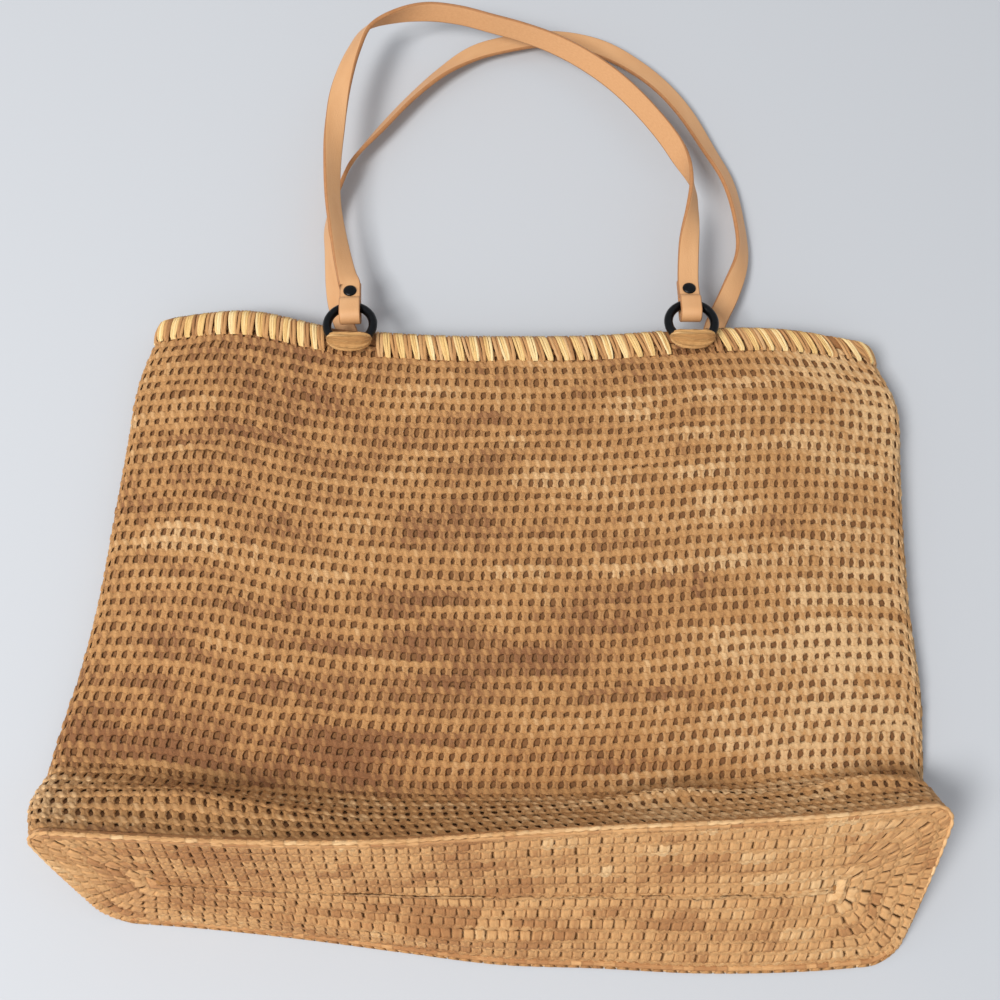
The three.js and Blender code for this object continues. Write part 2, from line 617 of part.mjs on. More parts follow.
// A flat strap with rounded edges, carried through its stations.
function strapMesh(stations) {
  const half = STRAP_WIDTH / 2;
  const thick = STRAP_THICK / 2;
  const section = [
    [-half, thick - STRAP_BEVEL],
    [-half + STRAP_BEVEL, thick],
    [half - STRAP_BEVEL, thick],
    [half, thick - STRAP_BEVEL],
    [half, -thick + STRAP_BEVEL],
    [half - STRAP_BEVEL, -thick],
    [-half + STRAP_BEVEL, -thick],
    [-half, -thick + STRAP_BEVEL],
  ];
  const rows = stations.map((station, i) => {
    const before = stations[Math.max(i - 1, 0)].point;
    const after = stations[Math.min(i + 1, stations.length - 1)].point;
    const wide = direction(before, after).cross(station.normal).normalize();
    return section.map(([side, rise]) => moved(moved(station.point, wide, side), station.normal, rise));
  });
  const quads = rowQuads([...rows.keys()], section.length);
  const last = (rows.length - 1) * section.length;
  for (const [a, b, c, d] of [[0, 1, 2, 3], [0, 3, 4, 7], [7, 4, 5, 6]]) {
    quads.push([d, c, b, a], [last + a, last + b, last + c, last + d]);
  }
  return meshOf(rows.flat(), quads);
}

function solidOf(geometry) {
  const plain = geometry.clone();
  plain.deleteAttribute("normal");
  plain.deleteAttribute("uv");
  const merged = mergeVertices(plain, 1e-3);
  return new wasm.Manifold(
    new wasm.Mesh({
      numProp: 3,
      vertProperties: new Float32Array(merged.attributes.position.array),
      triVerts: new Uint32Array(merged.index.array),
    }),
  );
}

function geometryOf(solid) {
  const mesh = solid.getMesh();
  const position = new THREE.BufferAttribute(new Float32Array(mesh.vertProperties), mesh.numProp);
  const index = new THREE.BufferAttribute(new Uint32Array(mesh.triVerts), 1);
  return new THREE.BufferGeometry().setAttribute("position", position).setIndex(index);
}

// Puts a shape made along +Y, such as a rivet, at a strap's end, with +Y through the layers.
function stood(geometry, end) {
  const turn = new THREE.Quaternion().setFromUnitVectors(new THREE.Vector3(0, 1, 0), end.up);
  return geometry.applyQuaternion(turn).translate(end.rivet.x, end.rivet.y, end.rivet.z);
}

const LAYERS_LOW = -STRAP_THICK * 1.5 - LAYER_GAP;

function holed(strap, ends) {
  let solid = solidOf(strap);
  for (const end of ends) {
    const radius = RIVET_SHANK / 2 + CLEARANCE;
    const drill = new THREE.CylinderGeometry(radius, radius, DRILL_LENGTH, RIVET_SIDES);
    solid = solid.subtract(solidOf(stood(drill, end)));
  }
  return geometryOf(solid);
}

// A rivet: a domed cap on the upper layer, a shank through both layers and a flat cap below.
function rivetMesh(end) {
  const cap = RIVET_CAP / 2;
  const foot = RIVET_FOOT / 2;
  const shank = RIVET_SHANK / 2;
  const top = STRAP_THICK / 2 + CLEARANCE;
  const low = LAYERS_LOW - CLEARANCE;
  const profile = [
    [0, low - CAP_RISE / 2],
    [foot, low - CAP_RISE / 2],
    [foot, low],
    [shank, low],
    [shank, top],
    [cap, top],
    ...CAP_DOME.map(([radius, rise]) => [cap * radius, top + CAP_RISE * rise]),
    [0, top + CAP_RISE],
  ];
  const points = profile.map(([radius, height]) => new THREE.Vector2(radius, height));
  return stood(new THREE.LatheGeometry(points, RIVET_SIDES), end);
}

const material = (color, roughness, metalness) =>
  new THREE.MeshStandardMaterial({ color, roughness, metalness, side: THREE.DoubleSide });

const raffia = () => material(0xbe8c55, 0.85, 0);
const paleRaffia = () => material(0xcd9b5f, 0.85, 0);
const brownRaffia = () => material(0x9a6b3c, 0.9, 0);
const leather = () => material(0xd8a474, 0.55, 0);
const blackMetal = () => material(0x17181a, 0.35, 0.8);

const bag = new THREE.Group();

function add(name, geometry, finish) {
  const mesh = new THREE.Mesh(geometry, finish);
  mesh.name = name;
  bag.add(mesh);
}

add("crocheted_wall", crochetedWall(), raffia());
add("base_panel", basePanel(), paleRaffia());
add("rim_band", rimBand(), brownRaffia());

for (const ring of RINGS) {
  add("ring_" + ring.name, ringMesh(ring), blackMetal());
  add("ring_tab_" + ring.name, tabMesh(ring), paleRaffia());
}

const STRAPS = [
  { name: "front", ends: [RINGS[0], RINGS[1]], route: FRONT_ROUTE, reach: FRONT_REACH, lift: FRONT_LIFT },
  { name: "back", ends: [RINGS[2], RINGS[3]], route: BACK_ROUTE, reach: BACK_REACH, lift: BACK_LIFT },
];

for (const strap of STRAPS) {
  const ends = strap.ends.map(strapEnd);
  const stations = strapStations(ends[0], ends[1], strap.route, strap.reach, strap.lift);
  add("strap_" + strap.name, holed(strapMesh(stations), ends), leather());
  strap.ends.forEach((ring, i) => add("rivet_" + ring.name, rivetMesh(ends[i]), blackMetal()));
}

export default bag;
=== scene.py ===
"""A crocheted raffia basket bag with two leather straps, laid on its back on a pale floor.

Lengths are in millimetres until a mesh is made. +Y points to the mouth and +Z up from the floor.
"""

import bmesh
import bpy
import numpy as np
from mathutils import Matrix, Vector


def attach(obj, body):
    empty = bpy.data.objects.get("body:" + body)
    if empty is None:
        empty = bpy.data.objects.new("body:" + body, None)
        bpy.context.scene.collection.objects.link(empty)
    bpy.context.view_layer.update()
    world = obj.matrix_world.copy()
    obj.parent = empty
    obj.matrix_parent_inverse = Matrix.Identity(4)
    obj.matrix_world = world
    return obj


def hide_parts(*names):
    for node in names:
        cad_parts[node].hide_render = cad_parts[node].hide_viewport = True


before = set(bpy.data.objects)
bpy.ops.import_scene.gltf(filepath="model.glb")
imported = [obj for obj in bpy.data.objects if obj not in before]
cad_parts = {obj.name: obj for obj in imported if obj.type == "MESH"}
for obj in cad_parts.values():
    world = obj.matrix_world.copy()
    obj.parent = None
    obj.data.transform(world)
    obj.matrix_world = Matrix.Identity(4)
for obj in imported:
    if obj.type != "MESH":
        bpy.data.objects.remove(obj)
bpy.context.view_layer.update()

# The view: the bag seen from above and a little from its base, through a 40 mm lens.
EYE = (0.0, -0.0534, 0.6113)
EYE_TILT = 14.0
LENS = 39.6

camera = bpy.data.objects.new("camera", bpy.data.cameras.new("camera"))
camera.location = EYE
camera.rotation_euler = (np.radians(EYE_TILT), 0.0, 0.0)
camera.data.lens = LENS
bpy.context.collection.objects.link(camera)
bpy.context.scene.camera = camera
bpy.context.scene.view_settings.view_transform = "Standard"


class Value:
    """A node's output in a sum: + - * / and ** add Math nodes, also with the number first."""

    def __init__(self, finish, socket):
        self.finish = finish
        self.socket = socket

    def sum(self, operation, first, second):
        return self.finish.node("ShaderNodeMath", {"operation": operation}, {0: first, 1: second})

    def __add__(self, other):
        return self.sum("ADD", self, other)

    def __sub__(self, other):
        return self.sum("SUBTRACT", self, other)

    def __rsub__(self, other):
        return self.sum("SUBTRACT", other, self)

    def __mul__(self, other):
        return self.sum("MULTIPLY", self, other)

    def __truediv__(self, other):
        return self.sum("DIVIDE", self, other)

    def __pow__(self, other):
        return self.sum("POWER", self, other)

    __radd__ = __add__
    __rmul__ = __mul__


class Finish:
    """A material in the making. node() adds any node and gives one of its outputs."""

    def __init__(self, name):
        self.material = bpy.data.materials.new(name)
        self.material.use_nodes = True
        self.tree = self.material.node_tree
        self.shader = self.tree.nodes["Principled BSDF"]

    def put(self, socket, value):
        if isinstance(value, Value):
            self.tree.links.new(value.socket, socket)
        elif isinstance(value, str):
            socket.default_value = linear(value)
        else:
            socket.default_value = value

    def node(self, kind, settings, inputs, output=0):
        made = self.tree.nodes.new(kind)
        for key, value in settings.items():
            setattr(made, key, value)
        for key, value in inputs.items():
            self.put(made.inputs[key], value)
        return Value(self, made.outputs[output])

    def clamp(self, value, low, high):
        """0 where the value is under low, 1 where it is over high, and smooth between them."""
        settings = {"interpolation_type": "SMOOTHSTEP"}
        return self.node("ShaderNodeMapRange", settings, {"Value": value, "From Min": low, "From Max": high})

    def mix(self, share, first, second):
        """The first colour where share is 0 and the second where it is 1."""
        return self.node("ShaderNodeMix", {"data_type": "RGBA"}, {0: share, 6: first, 7: second}, 2)

    def vector(self, x, y, z):
        return self.node("ShaderNodeCombineXYZ", {}, {0: x, 1: y, 2: z})

    def noise(self, vector, scale, detail=2.0, roughness=0.5):
        inputs = {"Vector": vector, "Scale": scale, "Detail": detail, "Roughness": roughness}
        return self.node("ShaderNodeTexNoise", {}, inputs)

    def bump(self, height, distance):
        return self.node("ShaderNodeBump", {}, {"Height": height, "Distance": distance, "Strength": 1.0})

    def parts(self, attribute):
        """The three numbers of a vector attribute of the mesh."""
        vector = self.node("ShaderNodeAttribute", {"attribute_name": attribute}, {}, 1)
        return [self.node("ShaderNodeSeparateXYZ", {}, {0: vector}, i) for i in range(3)]

    def done(self, inputs):
        """Sets the shader's own sockets by their names."""
        for key, value in inputs.items():
            self.put(self.shader.inputs[key], value)
        return self.material


def linear(code):
    """A colour code such as c89860 as linear light, with full alpha."""
    parts = np.array([int(code[i : i + 2], 16) for i in (0, 2, 4)]) / 255
    light = np.where(parts < 0.04045, parts / 12.92, ((parts + 0.055) / 1.055) ** 2.4)
    return (*light, 1.0)


# The floor: one plain pale slab, wide enough to fill every view.
FLOOR_SIZE = 6.0
floor_finish = Finish("pale_floor")
floor_material = floor_finish.done({"Base Color": "bfc1c4", "Roughness": 0.8})
bpy.ops.mesh.primitive_plane_add(size=FLOOR_SIZE)
floor = bpy.context.object
floor.name = "floor"
floor.data.materials.append(floor_material)

# The light: one large soft lamp high on the left and a bright room.
LAMP_PLACE = (-1.15, -0.6, 2.0)
LAMP_AIM = (0.0, 0.05, 0.0)
LAMP_WIDTH = 0.85
LAMP_WATTS = 50.0
ROOM_LIGHT = 0.7

lamp = bpy.data.objects.new("lamp", bpy.data.lights.new("lamp", "AREA"))
lamp.data.size = LAMP_WIDTH
lamp.data.energy = LAMP_WATTS
lamp.location = LAMP_PLACE
aim = Vector(LAMP_AIM) - Vector(LAMP_PLACE)
lamp.rotation_euler = aim.to_track_quat("-Z", "Y").to_euler()
bpy.context.collection.objects.link(lamp)
room = bpy.data.worlds.new("room")
room.use_nodes = True
room.node_tree.nodes["Background"].inputs["Color"].default_value = linear("eaedf2")
room.node_tree.nodes["Background"].inputs["Strength"].default_value = ROOM_LIGHT
bpy.context.scene.world = room


# The cloth: one layer of crocheted raffia, worked upwards in the round from the edge of the base.
# It lies flat at the back, and the front wall drops behind the ridge into a crease.
FABRIC = 3.0
BACK_LENGTH = 299.0
BODY_WIDTH = 464.0
BASE_DEPTH = 96.0
BASE_CORNER = 14.0
CORNER_SHARE = 0.9
STRIP_SLOPE = 72.0
CREASE_RISE = 10.0
CREASE_SOFT = 0.025
CROWN = 30.0
SIDE_DROP = 0.55
MOUTH_STEP = 30.0
BACK_RIM_RISE = 11.3


def columns(names, rows):
    """A table's rows as one array for each named column."""
    return dict(zip(names.split(), np.array(rows, float).T))


ACROSS = columns(
    "across keel tilt depth crease rim",
    [
        (-1.0, 0.07, 56.5, 0.93, 0.062, 0.05),
        (-0.75, 0.058, 55, 0.9, 0.049, 0.059),
        (-0.5, 0.041, 52.5, 0.9, 0.022, 0.02),
        (-0.25, 0.02, 49, 0.94, 0.005, 0.003),
        (0.0, 0.0, 43.5, 0.985, 0.0, 0.0),
        (0.25, -0.006, 40, 1.0, 0.002, 0.003),
        (0.5, -0.014, 37, 1.02, 0.015, 0.017),
        (0.75, -0.012, 35, 1.03, 0.033, 0.022),
        (1.0, 0.0, 33, 1.03, 0.04, 0.003),
    ],
)
ALONG = columns(
    "along width shift flare bulge",
    [
        (0.0, 0.925, -0.001, 0.052, 0.01),
        (0.09, 0.986, -0.0133, 0.018, 0.003),
        (0.19, 1.005, -0.0168, 0.0, 0.0),
        (0.27, 0.997, -0.01, 0.0, 0.0),
        (0.37, 0.982, 0.0, 0.0, 0.0),
        (0.5, 0.961, 0.005, 0.0, 0.0),
        (0.63, 0.952, 0.009, 0.0, 0.0),
        (0.77, 0.947, 0.015, 0.0, 0.0),
        (0.9, 0.942, 0.0205, 0.0, 0.0),
        (1.0, 0.896, 0.0172, 0.0, 0.0),
    ],
)
HUMP = columns(
    "reach rise",
    [(0.0, 0.0), (0.08, 0.24), (0.2, 0.58), (0.4, 0.92), (0.6, 1.0), (0.8, 0.94), (1.0, 0.86)],
)
FOLDS = columns(
    "across place wide tall rise",
    [
        (-0.62, 0.1, 0.2, 0.035, 0.2),
        (0.4, 0.14, 0.14, 0.03, 0.2),
        (0.84, 0.13, 0.12, 0.025, 0.18),
        (-0.3, 0.82, 0.35, 0.1, -0.16),
        (0.62, 0.78, 0.3, 0.2, 0.12),
        (-0.7, 0.45, 0.22, 0.14, 0.12),
        (0.2, 0.42, 0.4, 0.08, -0.1),
    ],
)
BASE_FOLDS = columns(
    "across place wide tall rise",
    [(-0.2, -0.62, 0.42, 0.14, 0.09), (0.86, 0.1, 0.16, 0.4, -0.1), (0.1, 0.1, 0.6, 0.5, -0.08)],
)


def read(table, column, at):
    """A smooth curve through a column's values over the table's first column: a cubic between each
    two rows, whose slope at a row is that of the line between its neighbours."""
    key = next(iter(table.values()))
    values = table[column]
    last = len(key) - 1
    after = np.minimum(np.arange(last + 1) + 1, last)
    before = np.maximum(np.arange(last + 1) - 1, 0)
    slope = (values[after] - values[before]) / (key[after] - key[before])
    at = np.clip(at, key[0], key[-1])
    i = np.clip(np.searchsorted(key, at) - 1, 0, last - 1)
    span = key[i + 1] - key[i]
    t = (at - key[i]) / span
    start = values[i] * (1 + 2 * t) * (1 - t) ** 2 + slope[i] * span * t * (1 - t) ** 2
    end = values[i + 1] * (3 - 2 * t) * t**2 - slope[i + 1] * span * (1 - t) * t**2
    return start + end


def smooth(value, low, high):
    """0 up to low, 1 from high, and a smooth step between them."""
    t = np.clip((value - low) / (high - low), 0, 1)
    return t * t * (3 - 2 * t)


def bumps(table, across, place):
    """Bell-shaped folds added up: each falls off with the square of the distance from its middle."""
    total = 0.0
    for middle, row, wide, tall, rise in zip(*table.values()):
        away = ((across - middle) / wide) ** 2 + ((place - row) / tall) ** 2
        total = total + rise * CROWN * np.exp(-away)
    return total


def keel(c):
    return -BACK_LENGTH / 2 + read(ACROSS, "keel", c) * BACK_LENGTH


def ridge(c):
    """The base's upper edge: the keel carried up a slope of the base's depth."""
    tilt = np.radians(read(ACROSS, "tilt", c))
    depth = BASE_DEPTH * read(ACROSS, "depth", c)
    return keel(c) + depth * np.cos(tilt), depth * np.sin(tilt)


RIDGE_MIDDLE = ridge(np.array(0.0))
STRIP_FALL = RIDGE_MIDDLE[1] - CREASE_RISE
CREASE_Y = RIDGE_MIDDLE[0] + STRIP_FALL / np.tan(np.radians(STRIP_SLOPE))
STRIP_LENGTH = STRIP_FALL / np.sin(np.radians(STRIP_SLOPE))
FRONT_TOP = BACK_LENGTH / 2 + MOUTH_STEP
CREASE_ALONG = STRIP_LENGTH / (STRIP_LENGTH + FRONT_TOP - CREASE_Y)


def top_edge(c):
    return FRONT_TOP + read(ACROSS, "rim", c) * BACK_LENGTH


def front_raw(c, v):
    """Side profile of the front: a straight strip from ridge to crease, then a long low hump."""
    crease_y = CREASE_Y + read(ACROSS, "crease", c) * BACK_LENGTH
    top_y, top_z = ridge(c)
    share = v / CREASE_ALONG
    reach = (v - CREASE_ALONG) / (1 - CREASE_ALONG)
    hump = (CROWN - CREASE_RISE) * read(HUMP, "rise", reach) * (1 - SIDE_DROP * np.abs(c) ** 3)
    in_strip = v < CREASE_ALONG
    y = np.where(in_strip, top_y + (crease_y - top_y) * share, crease_y + (top_edge(c) - crease_y) * reach)
    z = np.where(in_strip, top_z + (CREASE_RISE - top_z) * share, CREASE_RISE + hump)
    return y, z


def front_line(c, v):
    """The front profile with its crease rounded by a running mean, and the soft folds added."""
    reach = np.minimum(CREASE_SOFT, np.minimum(v, 1 - v))
    low, here, high = front_raw(c, v - reach), front_raw(c, v), front_raw(c, v + reach)
    out = bumps(FOLDS, c, v) * smooth(v, 0, 0.06)
    slant = np.maximum(0, 1 - v / CREASE_ALONG)
    y = (low[0] + 2 * here[0] + high[0]) / 4 + out * np.minimum(1, 3 * slant)
    z = (low[1] + 2 * here[1] + high[1]) / 4 + out * (1 - 0.6 * slant)
    return y, z


def back_line(c, v):
    """The back profile: flat on the floor, and lifted a little at the top edge."""
    end = top_edge(c) - MOUTH_STEP * (1 - np.abs(c) ** 4)
    lift = BACK_RIM_RISE * smooth(v, 0.8, 1) * (1 - np.abs(c) ** 6)
    return keel(c) + (end - keel(c)) * v, lift


def body_point(x, w, v):
    """A point of the body: x from the loop's middle, w from the back line (-1) to the front (1)."""
    half = read(ALONG, "width", v) * BODY_WIDTH / 2
    front, back = front_line(x / half, v), back_line(x / half, v)
    share = (1 + w) / 2
    spread = 1 + read(ALONG, "flare", v) * w + read(ALONG, "bulge", v) * (1 - w * w)
    side = read(ALONG, "shift", v) * BODY_WIDTH + x * spread
    y = back[0] + (front[0] - back[0]) * share
    z = back[1] + (front[1] - back[1]) * share
    return np.stack([side, y, z], -1)


def end_depth(end, v):
    """Half the distance between the front and back lines at an end of the body."""
    front, back = front_line(end, v), back_line(end, v)
    return np.hypot(front[0] - back[0], front[1] - back[1]) / 2


def loop_place(g, v):
    """Where turn g (0 to 8) of a rounded rectangle lies at height v: x and w. Turn 0 to 1 is the front
    side, then the right end's corner, flat and corner, then the back side and the left end."""
    g = np.mod(g, 8)
    v = np.clip(v, 0, 1)
    step = np.floor(g).astype(int)
    t = g - step
    half = read(ALONG, "width", v) * BODY_WIDTH / 2
    middle = np.where(step < 4, 2 * t - 1, 1 - 2 * t)
    end = np.where(step % 4 == 0, np.sign(middle) + (middle == 0), np.where(step < 4, 1.0, -1.0))
    deep = end_depth(end, v)
    corner = np.minimum(BASE_CORNER, CORNER_SHARE * deep)
    falling = (step == 1) | (step == 5)
    angle = np.pi / 2 * np.where(falling, 1 - t, t)
    flat = (step == 2) | (step == 6)
    x_end = end * (half - corner + corner * np.where(flat, 1.0, np.cos(angle)))
    w_corner = (deep - corner + corner * np.sin(angle)) / deep * np.where((step == 3) | (step == 5), -1, 1)
    w_flat = (deep - corner) / deep * (1 - 2 * t) * np.where(step == 2, 1, -1)
    long_side = step % 4 == 0
    x = np.where(long_side, (half - corner) * middle, x_end)
    w = np.where(long_side, np.where(step == 0, 1.0, -1.0), np.where(flat, w_flat, w_corner))
    return x, w, half, corner


def wall_skin(g, v):
    x, w, _, _ = loop_place(g, v)
    return body_point(x, w, np.clip(v, 0, 1))


def base_skin(g, q):
    """The base between the seam (q = 0) and its middle line (q = 1): each point of the seam moves in
    along a straight way, square to the long sides, and the base's soft folds are added."""
    x, w, half, _ = loop_place(g, np.zeros_like(q))
    middle = half - BASE_DEPTH / 2
    x = x + (np.clip(x, -middle, middle) - x) * q
    w = w * (1 - q)
    tilt = np.radians(read(ACROSS, "tilt", x / half))
    out = bumps(BASE_FOLDS, x / half, w) * smooth(q, 0, 0.3)
    point = body_point(x, w, np.zeros_like(q))
    return point + out[..., None] * np.stack([0 * tilt, -np.sin(tilt), np.cos(tilt)], -1)


def lifted(skin, g, place, lift, outward):
    """A point of a skin moved off it: the way is square to two short steps on the skin."""
    step = 0.003
    low, high = np.clip(place - step, 0, 1), np.clip(place + step, 0, 1)
    round_way = skin(g + 2 * step, place) - skin(g - 2 * step, place)
    up_way = skin(g, high) - skin(g, low)
    normal = np.cross(round_way, up_way) * outward
    normal /= np.maximum(np.linalg.norm(normal, axis=-1, keepdims=True), 1e-9)
    return skin(g, place) + normal * np.asarray(lift)[..., None]


def wall(g, v, lift):
    return lifted(wall_skin, g, v, lift, 1)


def base(g, q, lift):
    return lifted(base_skin, g, q, lift, -1)


WELD_REACH = 0.000001


def piece(name, points, quads, material, replaces=(), strand=None, weld=False):
    """Puts an array of points and of quads into a mesh, with the strand numbers as an attribute. Weld
    joins points that coincide, as at a pole."""
    mesh = bpy.data.meshes.new(name)
    points = np.asarray(points, float).reshape(-1, 3) * 0.001
    quads = np.asarray(quads, np.int32).reshape(-1, 4)
    mesh.vertices.add(len(points))
    mesh.vertices.foreach_set("co", points.ravel())
    mesh.loops.add(quads.size)
    mesh.loops.foreach_set("vertex_index", quads.ravel())
    mesh.polygons.add(len(quads))
    mesh.polygons.foreach_set("loop_start", np.arange(0, quads.size, 4, dtype=np.int32))
    mesh.polygons.foreach_set("use_smooth", np.ones(len(quads), bool))
    if strand is not None:
        layer = mesh.attributes.new("strand", "FLOAT_VECTOR", "POINT")
        layer.data.foreach_set("vector", np.asarray(strand, float).ravel())
    mesh.update(calc_edges=True)
    if weld:
        work = bmesh.new()
        work.from_mesh(mesh)
        bmesh.ops.remove_doubles(work, verts=work.verts, dist=WELD_REACH)
        work.to_mesh(mesh)
        work.free()
    mesh.validate()
    mesh.materials.append(material)
    made = bpy.data.objects.new(name, mesh)
    bpy.context.collection.objects.link(made)
    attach(made, "root")
    if replaces:
        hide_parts(*replaces)
    return made


def sheet_quads(rows, count, closed_rows):
    """Quads of a grid whose columns run round in a loop, joined end to start where closed_rows is set."""
    j = np.arange(rows if closed_rows else rows - 1)[:, None]
    i = np.arange(count)[None, :]
    low, high = j * count, (j + 1) % rows * count
    return np.stack([low + i, low + (i + 1) % count, high + (i + 1) % count, high + i], -1).reshape(-1, 4)


def evenly(skin, place, count):
    """Turns g of count + 1 places that lie evenly along the loop of a skin at one height."""
    g = np.concatenate([np.linspace(k, k + 1, 200, endpoint=False) for k in range(8)] + [[8.0]])
    points = skin(g, np.full_like(g, place))
    length = np.concatenate([[0], np.cumsum(np.linalg.norm(np.diff(points, axis=0), axis=1))])
    return np.interp(np.linspace(0, length[-1], count + 1), length, g), length[-1]


# The backing: the inner half of the cloth, seen as the dark bottom of the holes between stitches and
# as the inside of the bag. Its dark colour is painted shade for the shaded strands deep in the holes.
BACKING_OUTER = -2.1
BACKING_COLUMNS = 220
BACKING_ROWS = 44
BASE_BACKING_ROWS = 10
WALL_MITRE = (0.014, 0.022)
BASE_MITRE = (0.085, 0.13)


def shell(surface, mitre, rows, limit):
    """Two skins joined at both edges, the outer one first."""
    count = BACKING_COLUMNS
    g = evenly(wall_skin, 0.0, count)[0][:-1]
    outer = np.linspace(mitre[0], limit, rows)
    inner = np.linspace(limit, mitre[1], rows)
    place = np.concatenate([outer, inner])[:, None] * np.ones(count)
    lift = np.repeat([BACKING_OUTER, -FABRIC], rows)[:, None] * np.ones(count)
    return surface(np.broadcast_to(g, place.shape), place, lift), sheet_quads(2 * rows, count, True)


def backing_material(name, dark, light):
    """Raffia painted dark as painted shade: dull, with soft patches and a fine grain."""
    finish = Finish(name)
    place = finish.node("ShaderNodeTexCoord", {}, {}, 3)
    patches = finish.noise(place, 60.0, 3.0)
    grain = finish.noise(place, 900.0, 2.0)
    color = finish.mix(patches, dark, light)
    normal = finish.bump(grain, 0.0006)
    return finish.done({"Base Color": color, "Roughness": 0.9, "Normal": normal})


wall_shade = backing_material("wall_shade", "6a4424", "8f6136")
points, quads = shell(wall, WALL_MITRE, BACKING_ROWS, 1.0)
piece("wall_backing", points, quads, wall_shade, ["crocheted_wall"])
# The base's backing is painted shade too, less dark because the base's raffia is painted paler.
base_shade = backing_material("base_shade", "8f5f30", "b07c43")
points, quads = shell(base, BASE_MITRE, BASE_BACKING_ROWS, 1.0)
piece("base_backing", points, quads[:, ::-1], base_shade, ["base_panel"])


# The stitches: rows of single crochet. The row's top is a chain of loops that stands out as a bumpy
# ridge, and each stitch is a post of two strands beneath it. A dark hole stays between two posts.
STITCH_PITCH = 5.8
ROW_COUNT = 41
BAND_HALF = 2.6
BAND_THICK = 1.05
BAND_LIFT = -1.05
BAND_PINCH = 0.24
BAND_DENT = 0.55
BAND_WOBBLE = 0.42
BAND_SLANT = 0.3
BAND_SHADE = 0.35
BAND_SIDES = 6
BAND_STEPS = 4
POST_THICK = 0.6
POST_LIFT = -1.15
POST_LEAN = 0.12
POST_SHADE = 0.25
ROW_TOP = 0.88
ROW_SHIFT = 0.17
CREASE_SHADE = 0.22
FINE = 8
STRIP_ROWS = 8
STRIP_PALE = 0.16
STRIP_WIDE = 1.22
PALE_SIDE = 0.36
POST_SHAPE = columns(
    "t half dip",
    [(0.1, 2.9, -0.3), (0.38, 1.95, 0.0), (0.5, 1.65, 0.05), (0.62, 1.95, 0.0), (0.9, 2.9, -0.3)],
)
POST_SECTION = columns(
    "side rise",
    [(1.0, -0.3), (0.55, 1.0), (0.0, 0.25), (-0.55, 1.0), (-1.0, -0.3), (0.0, -1.0)],
)
POST_CAP = np.array([[0, 1, 2, 5], [5, 2, 3, 4]])

rng = np.random.default_rng(11)


def turns_at(g_rows, index):
    """The turns g at places counted in stitches along each row, also up to a stitch past its ends."""
    rows = []
    for places, row in zip(index, g_rows):
        longer = np.concatenate([row[-FINE - 1 : -1] - 8, row, row[1 : FINE + 1] + 8])
        keys = np.arange(-FINE, len(row) + FINE) / FINE
        rows.append(np.interp(places, keys, longer))
    return np.stack(rows)


def drift(rows, count, reach):
    """Numbers round 0 that change slowly along each row, over about reach places, and close on
    themselves: white noise with its fast waves taken out."""
    waves = np.fft.rfft(rng.standard_normal((rows, count)), axis=1)
    waves *= np.exp(-((np.arange(waves.shape[1]) * reach / count) ** 2))
    slow = np.fft.irfft(waves, count, axis=1)
    return slow / slow.std()


def band(surface, g_rows, places, to_place, tones, half):
    """A chain along each row: a flat tube, pinched once a stitch on a slanted line so that it reads as
    overlapping loops. Gives points, strand numbers and quads."""
    rows, count = g_rows.shape[0], g_rows.shape[1] // FINE
    steps = count * BAND_STEPS
    turn = 2 * np.pi * np.arange(BAND_SIDES) / BAND_SIDES
    across, out = np.cos(turn)[None, None, :], np.sin(turn)[None, None, :]
    a = np.arange(steps)[None, :, None] / BAND_STEPS
    phase = 2 * np.pi * (a + BAND_SLANT * across)
    pinch = (0.5 + 0.5 * np.cos(phase)) ** 2
    wobble = np.repeat(drift(rows, count, 6), BAND_STEPS, axis=1)[:, :, None]
    loose = np.repeat(rng.uniform(0.78, 1.1, (rows, count)), BAND_STEPS, axis=1)[:, :, None]
    index = np.broadcast_to(a + 0.12 * across, (rows, steps, BAND_SIDES))
    reach = half * (1 - BAND_PINCH * pinch) * loose * across + BAND_WOBBLE * wobble
    place = places[:, None, None] + to_place * reach
    dent = BAND_DENT * pinch
    height = BAND_LIFT - dent + BAND_THICK * (1 - dent) * loose * out + 0 * place
    points = surface(turns_at(g_rows, index), place, height)
    # Painted shade: each pinch between the loops is coloured darker by BAND_SHADE.
    tone = np.repeat(tones, BAND_STEPS, axis=1)[:, :, None] - BAND_SHADE * pinch + 0 * place
    along = np.broadcast_to(a * STITCH_PITCH, place.shape)
    strand = np.stack([along, np.broadcast_to(across * half, place.shape), tone], -1)
    ring = sheet_quads(steps, BAND_SIDES, True)
    start = np.arange(rows)[:, None, None] * steps * BAND_SIDES
    return points.reshape(-1, 3), strand.reshape(-1, 3), (ring[None] + start).reshape(-1, 4)


